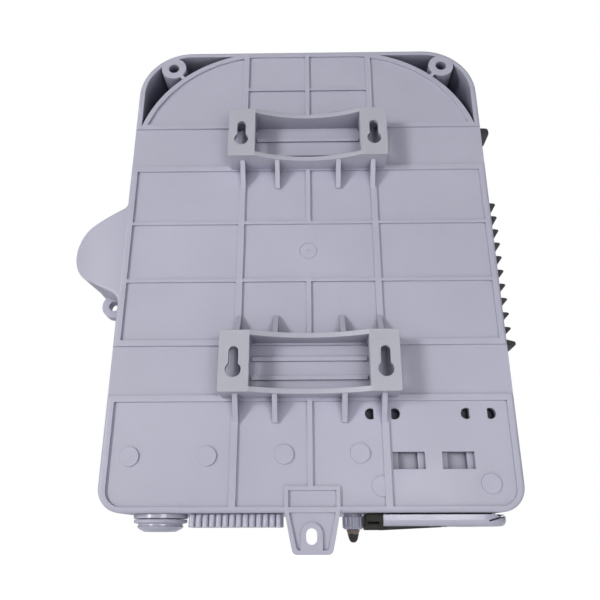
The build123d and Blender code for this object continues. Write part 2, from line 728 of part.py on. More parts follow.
    # holes in the bottom wall
    with BuildSketch(level(BODY_BOTTOM)):
        with Locations((GLAND_X, -PORT_DEPTH)):
            Circle(11.1)
        with Locations((EARTH_GLAND_X, -PORT_DEPTH)):
            Circle(4.1)
        with Locations(((STRIP_LEFT + STRIP_RIGHT) / 2, -PORT_DEPTH)):
            Rectangle(STRIP_RIGHT - STRIP_LEFT - 4, 10.0)
        with Locations(((EXPRESS_LEFT + EXPRESS_RIGHT) / 2, -PORT_DEPTH)):
            SlotOverall(EXPRESS_SLOT_LONG, EXPRESS_SLOT_WIDE)
    extrude(amount=WALL, mode=Mode.SUBTRACT)
    with BuildSketch(level(BODY_BOTTOM)):
        with Locations(*[(x, -PORT_DEPTH) for x in EXPRESS_SCREW_XS]):
            Circle(SCREW_RADIUS + RUNNING)
    extrude(amount=WALL + 2, mode=Mode.SUBTRACT)


# ---------------------------------------------------------------- front cover
with BuildPart() as front_cover:
    with BuildSketch(layer(COVER_DEPTH)):
        add(body_outline(0))
    extrude(amount=FRONT_DEPTH - COVER_DEPTH)
    front_face = front_cover.faces().sort_by(Axis.Y)[0]
    fillet(front_face.edges(), 10.0)
    # shallow recess that frames the front face
    with BuildSketch(layer(FRONT_DEPTH)):
        add(arched_outline(24.0))
        offset(arched_outline(24.0), amount=-5.0, mode=Mode.SUBTRACT)
    extrude(amount=-1.2, mode=Mode.SUBTRACT)
    add(cover_lobe())
    # hollow inside, with a wall along each corner arc
    with BuildSketch(layer(COVER_DEPTH)):
        add(arched_outline(2 * WALL))
    extrude(amount=3.0, mode=Mode.SUBTRACT)
    with BuildSketch(layer(COVER_DEPTH + 3.0)):
        add(arched_outline(WALL))
    extrude(amount=FRONT_DEPTH - FLOOR - COVER_DEPTH - 3.0, mode=Mode.SUBTRACT)
    with BuildSketch(layer(COVER_DEPTH)):
        for side in (-1, 1):
            add(corner_pocket(side))
    extrude(amount=FRONT_DEPTH - 2 * FLOOR - COVER_DEPTH, mode=Mode.SUBTRACT)
    add(lobe_room(COVER_DEPTH, LOBE_FRONT - LOBE_WALL), mode=Mode.SUBTRACT)
    with BuildSketch(layer(LOBE_FRONT)):
        with Locations((LOCK_X, LOBE_HEIGHT)):
            Circle(LOCK_RADIUS + FIT_GAP)
    extrude(amount=-LOBE_WALL, mode=Mode.SUBTRACT)
    add(padlock_ear(COVER_DEPTH))
    add(knuckles(COVER_DEPTH + 0.5, 7.5, COVER_KNUCKLE_STARTS, KNUCKLE))

# soft ring on the shell's ledge, pressed by the cover's inner flange
with BuildPart() as cover_gasket:
    with BuildSketch(layer(SEAM_DEPTH - 2.0)):
        add(arched_outline(WALL + FIT_GAP))
        add(arched_outline(2 * WALL - FIT_GAP), mode=Mode.SUBTRACT)
    extrude(amount=2.1)

with BuildPart() as hinge_pins:
    pin_half = 1.5 * KNUCKLE + KNUCKLE_GAP + 0.5
    for height in HINGE_HEIGHTS:
        with BuildSketch(level(height - pin_half)):
            with Locations((HINGE_X, -SEAM_DEPTH)):
                Circle(HINGE_PIN)
        extrude(amount=2 * pin_half)
        with BuildSketch(level(height + pin_half)):
            with Locations((HINGE_X, -SEAM_DEPTH)):
                Circle(HINGE_PIN + 1.4)
        extrude(amount=1.2)

# ---------------------------------------------------------------- lock and latch
LOCK_BACK = CAM_DEPTH + CAM_THICK + 0.5
with BuildPart() as lock_body:
    add(turned_forward(
        [(BARREL_RADIUS + RUNNING, LOCK_BACK), (LOCK_RADIUS, LOCK_BACK),
         (LOCK_RADIUS, LOBE_FRONT + RUNNING), (LOCK_RADIUS + 3, LOBE_FRONT + RUNNING),
         (LOCK_RADIUS + 3, LOBE_FRONT + 1.2), (LOCK_RADIUS + 1.5, LOBE_FRONT + 2.4),
         (BARREL_RADIUS + RUNNING, LOBE_FRONT + 2.4)],
        LOCK_X, LOBE_HEIGHT))

# nut that holds the lock body to the cover
with BuildPart() as lock_nut:
    with BuildSketch(layer(LOBE_FRONT - LOBE_WALL - 0.05)):
        with Locations((LOCK_X, LOBE_HEIGHT)):
            RegularPolygon(11.2, 6, rotation=30)
            Circle(LOCK_RADIUS + RUNNING, mode=Mode.SUBTRACT)
    extrude(amount=-4.0)
    chamfer(lock_nut.edges().group_by(Axis.Y)[-1].filter_by(GeomType.LINE), 0.8)

with BuildPart() as lock_barrel:
    add(turned_forward(
        [(0, CAM_DEPTH + CAM_THICK), (BARREL_RADIUS, CAM_DEPTH + CAM_THICK),
         (BARREL_RADIUS, LOBE_FRONT + 2.0), (0, LOBE_FRONT + 2.0)],
        LOCK_X, LOBE_HEIGHT))
    with BuildSketch(layer(CAM_DEPTH - 0.2)):
        with Locations((LOCK_X, LOBE_HEIGHT)):
            Rectangle(5.0, 5.0)
    extrude(amount=CAM_THICK + 1.0)
    with BuildSketch(layer(LOBE_FRONT + 2.0)):
        with Locations((LOCK_X, LOBE_HEIGHT)):
            Rectangle(6.0, 1.2)
            Circle(1.6)
    extrude(amount=-8.0, mode=Mode.SUBTRACT)
    with BuildSketch(layer(CAM_DEPTH - 0.2)):
        with Locations((LOCK_X, LOBE_HEIGHT)):
            Circle(SCREW_RADIUS + RUNNING)
    extrude(amount=8.0, mode=Mode.SUBTRACT)

with BuildPart() as lock_cam:
    with BuildSketch(layer(CAM_DEPTH)):
        with Locations((LOCK_X, LOBE_HEIGHT)):
            Circle(6.0)
        with Locations((LOCK_X + CAM_LONG / 2, LOBE_HEIGHT)):
            Rectangle(CAM_LONG, CAM_WIDE)
        with Locations((LOCK_X, LOBE_HEIGHT)):
            Rectangle(5.2, 5.2, mode=Mode.SUBTRACT)
    extrude(amount=CAM_THICK)

# screw that ties the cam to the barrel; its head faces the wall
CAM_SCREW_PLANE = Plane(
    origin=(LOCK_X, -CAM_DEPTH + 0.25, LOBE_HEIGHT + BODY_RISE), x_dir=(1, 0, 0), z_dir=(0, 1, 0))
with BuildPart() as cam_screw:
    add(screws(CAM_SCREW_PLANE, [(0, 0)], 7.0))

# steel plate the cam hooks behind
with BuildPart() as latch_keeper:
    with BuildSketch(layer(KEEPER_DEPTH)):
        with Locations((sum(KEEPER_SPAN) / 2, sum(KEEPER_HEIGHTS) / 2)):
            Rectangle(KEEPER_SPAN[1] - KEEPER_SPAN[0], KEEPER_HEIGHTS[1] - KEEPER_HEIGHTS[0])
        with Locations(KEEPER_POST):
            Circle(KEEPER_POST_RADIUS - FIT_GAP)
        with Locations((LOBE_X, LOBE_HEIGHT)):
            Circle(LOBE_SEAM_RADIUS - LOBE_WALL - 2 * FIT_GAP, mode=Mode.INTERSECT)
        with Locations((KEEPER_SPAN[0] - LOBE_RADIUS / 2, LOBE_HEIGHT)):
            Rectangle(LOBE_RADIUS, 2 * LOBE_RADIUS, mode=Mode.SUBTRACT)
        with Locations(KEEPER_POST):
            Circle(SCREW_RADIUS + RUNNING, mode=Mode.SUBTRACT)
    extrude(amount=KEEPER_THICK)

with BuildPart() as keeper_screw:
    add(screws(layer(KEEPER_DEPTH + KEEPER_THICK + RUNNING), [KEEPER_POST], KEEPER_SCREW_LONG))

# ---------------------------------------------------------------- drop-cable strip
BETWEEN_PORTS = [DROP_HEIGHT + (index - DROP_COUNT / 2) * DROP_PITCH for index in range(DROP_COUNT + 1)]
DROP_HEIGHTS = [height + DROP_PITCH / 2 for height in BETWEEN_PORTS[:-1]]

with BuildPart() as drop_cable_seal:
    flange = 1.8
    outer_x = -BODY_HALF - 2.4
    half_tall = SEAL_TALL / 2 - FIT_GAP
    add(slab(-BODY_HALF - FIT_GAP, -BODY_HALF + WALL, SEAL_BACK + FIT_GAP, SEAL_FRONT - FIT_GAP,
             DROP_HEIGHT - half_tall, DROP_HEIGHT + half_tall))
    add(slab(outer_x, -BODY_HALF - FIT_GAP, SEAL_BACK - flange, SEAL_FRONT - 0.5,
             DROP_HEIGHT - half_tall - flange, DROP_HEIGHT + half_tall + flange))
    # fins between the lower ports, and a thick bead at both ends of the strip
    fins = [(height, 1.3, 0.8, FIN_REACH) for height in BETWEEN_PORTS[1:FIN_COUNT + 1]]
    beads = [(BETWEEN_PORTS[0], 4.0, 1.4, BEAD_REACH), (BETWEEN_PORTS[-1], 4.2, 2.8, BEAD_REACH)]
    with BuildSketch(layer(SEAL_BACK + 1)):
        for height, foot, tip, far in fins + beads:
            Polygon(
                (outer_x + 0.5, height + foot), (outer_x, height + foot),
                (-far, height + tip), (-far, height - tip),
                (outer_x, height - foot), (outer_x + 0.5, height - foot),
                align=None,
            )
    extrude(amount=SEAL_FRONT - SEAL_BACK - 2)
    with BuildSketch(upright(-BODY_HALF + WALL)):
        with Locations(*[(-DROP_DEPTH, height) for height in DROP_HEIGHTS]):
            Circle(DROP_HOLE)
    extrude(amount=-20, mode=Mode.SUBTRACT)

# bar of tie posts behind the strip, one bay for each drop cable
with BuildPart() as drop_cable_comb:
    with BuildSketch(layer(LOW_BOSS)):
        with Locations((COMB_X, DROP_HEIGHT)):
            Rectangle(9.0, SEAL_TALL - 6)
        with Locations(*COMB_BOSSES):
            Circle(SCREW_RADIUS + RUNNING, mode=Mode.SUBTRACT)
    extrude(amount=2.5)
    with BuildSketch(layer(LOW_BOSS + 2.4)):
        with Locations(*[(COMB_X - 3.0, height) for height in BETWEEN_PORTS[1:-1]]):
            Rectangle(2.0, 3.0)
    extrude(amount=12)
    with BuildSketch(layer(LOW_BOSS + 13.0)):
        with Locations(*[(COMB_X - 3.0, height) for height in BETWEEN_PORTS[1:-1]]):
            Rectangle(2.0, 5.5)
    extrude(amount=1.6)

# ---------------------------------------------------------------- bottom ports
with BuildPart() as bottom_port_strip:
    middle_x = (STRIP_LEFT + STRIP_RIGHT) / 2
    wide = STRIP_RIGHT - STRIP_LEFT
    pitch = wide / (2 * STRIP_PORTS)
    flute_xs = [STRIP_LEFT + pitch * (index + 0.5) for index in range(2 * STRIP_PORTS)]
    with BuildSketch(level(BODY_BOTTOM - 0.4)):
        with Locations((middle_x, -PORT_DEPTH)):
            Rectangle(wide, 18.0)
        with Locations(*[(x, -PORT_DEPTH + side * 9.0) for x in flute_xs for side in (-1, 1)]):
            Circle(pitch / 2 - 0.05)
    extrude(amount=-6.8)
    with BuildSketch(level(BODY_BOTTOM - 0.4)):
        with Locations((middle_x, -PORT_DEPTH)):
            Rectangle(wide - 4 - 2 * FIT_GAP, 10.0 - 2 * FIT_GAP)
    extrude(amount=WALL + 1.4)
    with BuildSketch(level(BODY_BOTTOM - 7.2)):
        with Locations(*[(x + pitch / 2, -PORT_DEPTH) for x in flute_xs[::2]]):
            Circle(DROP_HOLE)
    extrude(amount=20, mode=Mode.SUBTRACT)

with BuildPart() as gland_body:
    add(turned(
        [(GLAND_BORE + 1.0, BODY_BOTTOM + 12), (11.0, BODY_BOTTOM + 12), (11.0, BODY_BOTTOM - 0.1),
         (GLAND_RADIUS, BODY_BOTTOM - 0.1), (GLAND_RADIUS, BODY_BOTTOM - 2.4),
         (GLAND_NECK, BODY_BOTTOM - 2.4), (GLAND_NECK, BODY_BOTTOM - 7.2),
         (GLAND_BORE + 1.0, BODY_BOTTOM - 7.2)],
        GLAND_X, PORT_DEPTH))

with BuildPart() as gland_nut:
    add(turned(
        [(GLAND_NECK + RUNNING, BODY_BOTTOM - 2.9), (GLAND_RADIUS - 0.6, BODY_BOTTOM - 2.9),
         (GLAND_RADIUS - 0.2, BODY_BOTTOM - 3.3), (GLAND_RADIUS - 0.4, BODY_BOTTOM - 4.7),
         (GLAND_GROOVE, BODY_BOTTOM - 5.2), (GLAND_GROOVE, BODY_BOTTOM - 6.4),
         (GLAND_GROOVE + 0.7, BODY_BOTTOM - 6.7), (GLAND_GROOVE - 0.6, BODY_BOTTOM - 7.9),
         (GLAND_GROOVE - 2.6, BODY_BOTTOM - 8.9), (GLAND_BORE + 1.2, BODY_BOTTOM - 9.4),
         (GLAND_BORE + 0.5, BODY_BOTTOM - 9.4), (GLAND_BORE + 0.5, BODY_BOTTOM - 7.6),
         (GLAND_NECK + RUNNING, BODY_BOTTOM - 7.6)],
        GLAND_X, PORT_DEPTH))
    # finger notches in the cap's lip, below the groove
    with BuildSketch(level(BODY_BOTTOM - 6.4)):
        with Locations((GLAND_X, -PORT_DEPTH)):
            with PolarLocations(GLAND_GROOVE + 0.9, 24):
                Circle(0.6)
    extrude(amount=-1.2, mode=Mode.SUBTRACT)

with BuildPart() as gland_seal:
    add(turned(
        [(GLAND_BORE, BODY_BOTTOM + 2), (GLAND_BORE + 1.0 - FIT_GAP, BODY_BOTTOM + 2),
         (GLAND_BORE + 1.0 - FIT_GAP, BODY_BOTTOM - 7.2), (GLAND_BORE, BODY_BOTTOM - 7.2)],
        GLAND_X, PORT_DEPTH))

with BuildPart() as gland_locknut:
    with BuildSketch(level(BODY_BOTTOM + WALL + 0.05)):
        with Locations((GLAND_X, -PORT_DEPTH)):
            RegularPolygon(15.0, 6)
            Circle(11.0 + RUNNING, mode=Mode.SUBTRACT)
    extrude(amount=5.0)
    chamfer(gland_locknut.edges().group_by(Axis.Z)[-1].filter_by(GeomType.LINE), 0.8)

with BuildPart() as earth_gland_body:
    add(turned(
        [(0.0, BODY_BOTTOM + 9), (4.0, BODY_BOTTOM + 9), (4.0, BODY_BOTTOM - 0.1),
         (5.2, BODY_BOTTOM - 0.1), (5.2, BODY_BOTTOM - 1.4), (3.9, BODY_BOTTOM - 1.4),
         (3.9, BODY_BOTTOM - 4.4), (0.0, BODY_BOTTOM - 4.4)],
        EARTH_GLAND_X, PORT_DEPTH))
    with BuildSketch(level(BODY_BOTTOM - 5.0)):
        with Locations((EARTH_GLAND_X, -PORT_DEPTH)):
            Circle(2.6)
    extrude(amount=16, mode=Mode.SUBTRACT)

with BuildPart() as earth_gland_nut:
    add(turned(
        [(3.9 + RUNNING, BODY_BOTTOM - 1.6), (EARTH_NUT_RADIUS, BODY_BOTTOM - 1.6),
         (EARTH_NUT_RADIUS, BODY_BOTTOM - 7.3), (EARTH_NUT_RADIUS - 1.2, BODY_BOTTOM - 8.4),
         (2.75, BODY_BOTTOM - 8.4), (2.75, BODY_BOTTOM - 4.7),
         (3.9 + RUNNING, BODY_BOTTOM - 4.7)],
        EARTH_GLAND_X, PORT_DEPTH))
    with BuildSketch(level(BODY_BOTTOM - 1.6)):
        with Locations((EARTH_GLAND_X, -PORT_DEPTH)):
            with PolarLocations(EARTH_NUT_RADIUS + 0.4, 14):
                Circle(0.95)
    extrude(amount=-7.0, mode=Mode.SUBTRACT)

# tapered rubber plug that closes the small gland
with BuildPart() as earth_gland_plug:
    add(turned(
        [(0.0, BODY_BOTTOM + 2), (2.5, BODY_BOTTOM + 2), (2.5, BODY_BOTTOM - 8.45),
         (3.9, BODY_BOTTOM - 8.45), (2.6, BODY_BOTTOM - 12.8), (2.1, BODY_BOTTOM - 14.4),
         (1.2, BODY_BOTTOM - 15.3), (0.0, BODY_BOTTOM - 15.5)],
        EARTH_GLAND_X, PORT_DEPTH))

# express port for the uncut cable: rubber block with a flange under a rounded clamp
EXPRESS_MIDDLE = (EXPRESS_LEFT + EXPRESS_RIGHT) / 2
with BuildPart() as express_seal:
    seal_right = EXPRESS_RUBBER_RIGHT
    seal_top = BODY_BOTTOM - 0.2
    add(slab(EXPRESS_RIGHT + 0.3, seal_right, PORT_DEPTH - SEAL_BLOCK_HALF,
             PORT_DEPTH + SEAL_BLOCK_HALF, BODY_BOTTOM - EXPRESS_RUBBER_DROP, seal_top))
    # tongue under the clamp, thinner towards its left end
    tongue_top = CLAMP_PLATE_TOP - CLAMP_PLATE_THICK - 0.05
    with BuildSketch(layer(PORT_DEPTH)):
        Polygon((EXPRESS_RIGHT + 0.3, tongue_top), (EXPRESS_TONGUE_LEFT, tongue_top),
                (EXPRESS_RIGHT + 0.3, BODY_BOTTOM - EXPRESS_RUBBER_DROP), align=None)
    extrude(amount=SEAL_BLOCK_HALF - 1, both=True)
    with BuildSketch(level(tongue_top)):
        with Locations((EXPRESS_SCREW_XS[1], -PORT_DEPTH)):
            Circle(SCREW_HEAD + 0.3)
    extrude(amount=-4, mode=Mode.SUBTRACT)
    with BuildSketch(level(seal_top)):
        with Locations((EXPRESS_MIDDLE, -PORT_DEPTH)):
            SlotOverall(EXPRESS_SLOT_LONG - 2 * FIT_GAP, EXPRESS_SLOT_WIDE - 2 * FIT_GAP)
    extrude(amount=WALL + 2.2)
    with BuildSketch(level(seal_top)):
        with Locations(((EXPRESS_FLANGE_LEFT + EXPRESS_RIGHT + 1) / 2, -PORT_DEPTH)):
            Rectangle(EXPRESS_RIGHT + 1 - EXPRESS_FLANGE_LEFT, EXPRESS_FLANGE_TALL)
    extrude(amount=-2.1)
    with BuildSketch(level(BODY_BOTTOM + 10)):
        with Locations(*[(x, -PORT_DEPTH) for x in EXPRESS_BORE_XS]):
            Circle(EXPRESS_BORE)
        with Locations(*[(x, -PORT_DEPTH) for x in EXPRESS_SCREW_XS]):
            Circle(SCREW_RADIUS + 0.3)
    extrude(amount=-20, mode=Mode.SUBTRACT)
    # slit for a flat cable in both faces, to be cut through when it is used
    for face_depth in (PORT_DEPTH - SEAL_BLOCK_HALF, PORT_DEPTH + SEAL_BLOCK_HALF):
        add(slab(seal_right - 7.4, seal_right - 1.2, face_depth - SLIT_DEEP, face_depth + SLIT_DEEP,
                 BODY_BOTTOM - 5.8, BODY_BOTTOM - 4.6), mode=Mode.SUBTRACT)


def end_slits(middle_x):
    """Two slanting grooves in the skin of the clamp's rounded end."""
    core_radius = CLAMP_PLATE_HALF - 2.5
    with BuildPart() as slits:
        with BuildSketch(layer(PORT_DEPTH)):
            Polygon((-98.0, BODY_BOTTOM - 3.9), (-112.0, BODY_BOTTOM - 0.3),
                    (-112.0, BODY_BOTTOM - 1.2), (-98.0, BODY_BOTTOM - 4.8), align=None)
            Polygon((-98.0, BODY_BOTTOM + 0.8), (-108.0, BODY_BOTTOM - 2.2),
                    (-108.0, BODY_BOTTOM - 2.9), (-98.0, BODY_BOTTOM + 0.1), align=None)
        extrude(amount=CLAMP_PLATE_HALF + 2, both=True)
        with BuildSketch(level(BODY_BOTTOM + 2)):
            with Locations((middle_x, -PORT_DEPTH)):
                Circle(core_radius)
        extrude(amount=-12, mode=Mode.SUBTRACT)
    return slits.part


with BuildPart() as express_clamp:
    end_x = EXPRESS_LEFT + CLAMP_PLATE_HALF
    with BuildSketch(level(CLAMP_PLATE_TOP)):
        with Locations((end_x, -PORT_DEPTH)):
            Circle(CLAMP_PLATE_HALF)
        with Locations(((end_x + EXPRESS_RIGHT) / 2, -PORT_DEPTH)):
            Rectangle(EXPRESS_RIGHT - end_x, 2 * CLAMP_PLATE_HALF)
    extrude(amount=-CLAMP_PLATE_THICK)
    bottom_edges = express_clamp.edges().group_by(Axis.Z)[0]
    fillet(bottom_edges.filter_by(lambda edge: edge.center().X < EXPRESS_RIGHT - 1), 3.2)
    # room for the seal's flange, open towards the rubber block
    with BuildSketch(level(CLAMP_PLATE_TOP)):
        with Locations(((EXPRESS_FLANGE_LEFT + EXPRESS_RIGHT + 1) / 2, -PORT_DEPTH)):
            Rectangle(EXPRESS_RIGHT + 1 - EXPRESS_FLANGE_LEFT + 0.6, EXPRESS_FLANGE_TALL + 0.6)
    extrude(amount=-1.6, mode=Mode.SUBTRACT)
    with BuildSketch(level(CLAMP_PLATE_TOP)):
        with Locations(*[(x, -PORT_DEPTH) for x in EXPRESS_BORE_XS]):
            Circle(EXPRESS_BORE)
        with Locations(*[(x, -PORT_DEPTH) for x in EXPRESS_SCREW_XS]):
            Circle(SCREW_RADIUS + 0.3)
    extrude(amount=-CLAMP_PLATE_THICK, mode=Mode.SUBTRACT)
    # sunk seats for the screw heads
    with BuildSketch(level(CLAMP_PLATE_TOP - CLAMP_PLATE_THICK)):
        with Locations(*[(x, -PORT_DEPTH) for x in EXPRESS_SCREW_XS]):
            Circle(SCREW_HEAD + 0.3)
    extrude(amount=1.9, mode=Mode.SUBTRACT)
    add(end_slits(end_x), mode=Mode.SUBTRACT)

EXPRESS_SCREW_PLANE = Plane(
    origin=(0, 0, CLAMP_PLATE_TOP - CLAMP_PLATE_THICK + 1.85 + BODY_RISE),
    x_dir=(1, 0, 0), z_dir=(0, 0, -1))
with BuildPart() as express_screws:
    add(screws(EXPRESS_SCREW_PLANE, [(x, PORT_DEPTH) for x in EXPRESS_SCREW_XS], 9.0))

# bar inside that keeps the express seal seated
with BuildPart() as express_retainer:
    with BuildSketch(layer(TALL_BOSS)):
        with BuildLine():
            Polyline(
                (-106.0, -148.0), (-34.0, -148.0), (-34.0, -139.0), (-106.0, -139.0), close=True)
        make_face()
        with Locations(*RETAINER_BOSSES):
            Circle(SCREW_RADIUS + RUNNING, mode=Mode.SUBTRACT)
    extrude(amount=2.5)

# ---------------------------------------------------------------- cable clamps
with BuildPart() as feeder_clamp:
    arch = 8.0
    with BuildSketch(level(-134.0)):
        with Locations((80.5, -TALL_BOSS - 1.5)):
            Rectangle(54.0, 3.0)
        with Locations((GLAND_X, -PORT_DEPTH)):
            Circle(arch + 3.0)
        with Locations((80.5, -TALL_BOSS + 10)):
            Rectangle(60.0, 20.0, mode=Mode.SUBTRACT)
        with Locations((GLAND_X, -PORT_DEPTH)):
            Circle(arch, mode=Mode.SUBTRACT)
    extrude(amount=13.0)
    with BuildSketch(layer(TALL_BOSS)):
        with Locations(*CLAMP_BOSSES[:2]):
            Circle(SCREW_RADIUS + RUNNING)
    extrude(amount=4.0, mode=Mode.SUBTRACT)

with BuildPart() as drop_clamp:
    with BuildSketch(layer(TALL_BOSS)):
        with Locations((-6.75, -126.5)):
            Rectangle(54.0, 12.0)
        with Locations(*CLAMP_BOSSES[2:]):
            Circle(SCREW_RADIUS + RUNNING, mode=Mode.SUBTRACT)
    extrude(amount=2.5)
    with BuildSketch(layer(TALL_BOSS + 2.4)):
        with Locations(*[(-6.75 + step * 6.0, -126.5) for step in range(-2, 3)]):
            Rectangle(2.0, 10.0)
    extrude(amount=7.0)

with BuildPart() as clamp_screws:
    add(screws(layer(TALL_BOSS + 3.05), CLAMP_BOSSES[:2], 10.0))
    add(screws(layer(TALL_BOSS + 2.55), CLAMP_BOSSES[2:], 10.0))
    add(screws(layer(TALL_BOSS + 2.55), RETAINER_BOSSES, 10.0))

# ---------------------------------------------------------------- splitter
with BuildPart() as splitter_module:
    splitter_back = INNER_FLOOR + 3.5
    with BuildSketch(layer(splitter_back)):
        with Locations((0, SPLITTER_HEIGHT)):
            RectangleRounded(SPLITTER_WIDE, SPLITTER_TALL, 3.0)
        with Locations(*SPLITTER_SCREWS):
            Circle(SCREW_RADIUS + RUNNING, mode=Mode.SUBTRACT)
    extrude(amount=10.0)
    with BuildSketch(layer(splitter_back + 4)):
        with Locations(*SPLITTER_SCREWS):
            Rectangle(7.5, 7.5)
    extrude(amount=7.0, mode=Mode.SUBTRACT)
    with BuildSketch(layer(splitter_back + 10)):
        with Locations((0, SPLITTER_HEIGHT)):
            Rectangle(76.0, 62.0)
            Rectangle(72.0, 58.0, mode=Mode.SUBTRACT)
    extrude(amount=-0.6, mode=Mode.SUBTRACT)

# soft boots where the fibres leave the splitter
with BuildPart() as splitter_boots:
    boot_xs = [(index - 8) * 4.6 for index in range(17)]
    with BuildSketch(level(SPLITTER_HEIGHT - SPLITTER_TALL / 2 - 0.05)):
        with Locations(*[(x, -splitter_back - 5) for x in boot_xs]):
            Circle(1.7)
    extrude(amount=-10.0, taper=4)

with BuildPart() as splitter_screws:
    add(screws(layer(splitter_back + 4.05), SPLITTER_SCREWS, 7.0))

# ---------------------------------------------------------------- splice tray
with BuildPart() as tray_brackets:
    for side in (-1, 1):
        ear_x = side * (TRAY_HALF + 2.0)
        foot_x = side * (TRAY_HALF + 21.0)
        add(slab(ear_x, foot_x, LOW_BOSS, LOW_BOSS + 2.0,
                 TRAY_AXIS_HEIGHT - 6.5, TRAY_AXIS_HEIGHT + 6.5))
        add(slab(ear_x, ear_x + side * 3.0, LOW_BOSS - 5.5, LOW_BOSS + 6.0,
                 TRAY_AXIS_HEIGHT - 6.5, TRAY_AXIS_HEIGHT + 6.5))
    with BuildSketch(layer(LOW_BOSS)):
        with Locations(*TRAY_BOSSES):
            Circle(SCREW_RADIUS + RUNNING)
    extrude(amount=3.0, mode=Mode.SUBTRACT)
    with BuildSketch(upright(0)):
        with Locations((-TRAY_AXIS_DEPTH, TRAY_AXIS_HEIGHT)):
            Circle(TRAY_PIN + RUNNING)
    extrude(amount=TRAY_HALF + 5.5, both=True, mode=Mode.SUBTRACT)

with BuildPart() as tray_pins:
    for side in (-1, 1):
        with BuildSketch(upright(side * (TRAY_HALF - 3.5))):
            with Locations((-TRAY_AXIS_DEPTH, TRAY_AXIS_HEIGHT)):
                Circle(TRAY_PIN)
        extrude(amount=side * 9.0)

with BuildPart() as splice_tray:
    tray_middle = (TRAY_TOP + TRAY_BOTTOM) / 2
    tray_tall = TRAY_TOP - TRAY_BOTTOM
    with BuildSketch(layer(TRAY_BACK)):
        with Locations((0, tray_middle)):
            RectangleRounded(2 * TRAY_HALF, tray_tall, 8.0)
    extrude(amount=TRAY_FRONT - TRAY_BACK - 1.3)
    with BuildSketch(layer(TRAY_BACK + 1.5)):
        with Locations((0, tray_middle)):
            RectangleRounded(2 * TRAY_HALF - 4.0, tray_tall - 4.0, 6.0)
        # round islands that keep the fibre's bend radius
        with Locations((-50.0, tray_middle), (50.0, tray_middle)):
            Circle(15.0, mode=Mode.SUBTRACT)
            Circle(13.2)
    extrude(amount=TRAY_FRONT - TRAY_BACK, mode=Mode.SUBTRACT)
    # retaining tabs along the long walls
    with BuildSketch(layer(TRAY_FRONT - 3.0)):
        with Locations(*[(x, TRAY_TOP - 5.0) for x in (-45.0, -15.0, 15.0, 45.0)]):
            Rectangle(9.0, 7.0)
        with Locations(*[(x, TRAY_BOTTOM + 5.0) for x in (-45.0, -15.0, 15.0, 45.0)]):
            Rectangle(9.0, 7.0)
    extrude(amount=1.2)
    # hinge lugs below both ends
    for side in (-1, 1):
        with BuildSketch(upright(side * (TRAY_HALF - 2.5))):
            with Locations((-TRAY_AXIS_DEPTH, TRAY_AXIS_HEIGHT)):
                Circle(3.8)
            with Locations((-TRAY_AXIS_DEPTH - 1.9, TRAY_AXIS_HEIGHT + 8.0)):
                Rectangle(7.6, 16.0)
            with Locations((-TRAY_AXIS_DEPTH, TRAY_AXIS_HEIGHT)):
                Circle(TRAY_PIN + RUNNING, mode=Mode.SUBTRACT)
        extrude(amount=side * 2.5)
    with BuildSketch(upright(0)):
        with Locations((-TRAY_AXIS_DEPTH, TRAY_AXIS_HEIGHT)):
            Circle(TRAY_PIN + RUNNING)
    extrude(amount=TRAY_HALF + 3, both=True, mode=Mode.SUBTRACT)

# comb that holds the splice sleeves in two layers of eight
SPLICE_ROWS = 8
SPLICE_PITCH = 3.9
SPLICE_RADIUS = 1.5
SPLICE_DEPTHS = (TRAY_BACK + 3.7, TRAY_BACK + 7.4)
SPLICE_HEIGHTS = [
    tray_middle + (index - (SPLICE_ROWS - 1) / 2) * SPLICE_PITCH for index in range(SPLICE_ROWS)
]

with BuildPart() as splice_holder:
    holder_tall = SPLICE_ROWS * SPLICE_PITCH + 1.6
    with BuildSketch(layer(TRAY_BACK + 1.55)):
        with Locations((-14.0, tray_middle), (14.0, tray_middle)):
            Rectangle(5.0, holder_tall)
    extrude(amount=8.0)
    with BuildSketch(upright(-20)):
        with Locations(*[(-depth, height) for depth in SPLICE_DEPTHS for height in SPLICE_HEIGHTS]):
            Circle(SPLICE_RADIUS + RUNNING)
        with Locations(*[(-TRAY_BACK - 9.0, height) for height in SPLICE_HEIGHTS]):
            Rectangle(7.0, 1.9)
    extrude(amount=40, mode=Mode.SUBTRACT)

with BuildPart() as splice_sleeves:
    with BuildSketch(upright(-22.5)):
        with Locations(*[(-depth, height) for depth in SPLICE_DEPTHS for height in SPLICE_HEIGHTS]):
            Circle(SPLICE_RADIUS)
    extrude(amount=45)

# clear snap-on cover of the tray
with BuildPart() as tray_cover:
    with BuildSketch(layer(TRAY_FRONT - 1.25)):
        with Locations((0, tray_middle)):
            RectangleRounded(2 * TRAY_HALF, tray_tall, 8.0)
    extrude(amount=1.25)
    with BuildSketch(layer(TRAY_FRONT)):
        with Locations((0, tray_middle)):
            RectangleRounded(2 * TRAY_HALF - 12, tray_tall - 12, 5.0)
            RectangleRounded(2 * TRAY_HALF - 14, tray_tall - 14, 4.0, mode=Mode.SUBTRACT)
    extrude(amount=-0.4, mode=Mode.SUBTRACT)

# ---------------------------------------------------------------- adapter panel
ADAPTER_XS = [(index - (ADAPTER_COLUMNS - 1) / 2) * ADAPTER_PITCH for index in range(ADAPTER_COLUMNS)]
ADAPTER_PLACES = [(x, -depth) for x in ADAPTER_XS for depth in ADAPTER_DEPTHS]
PANEL_THICK = 2.0

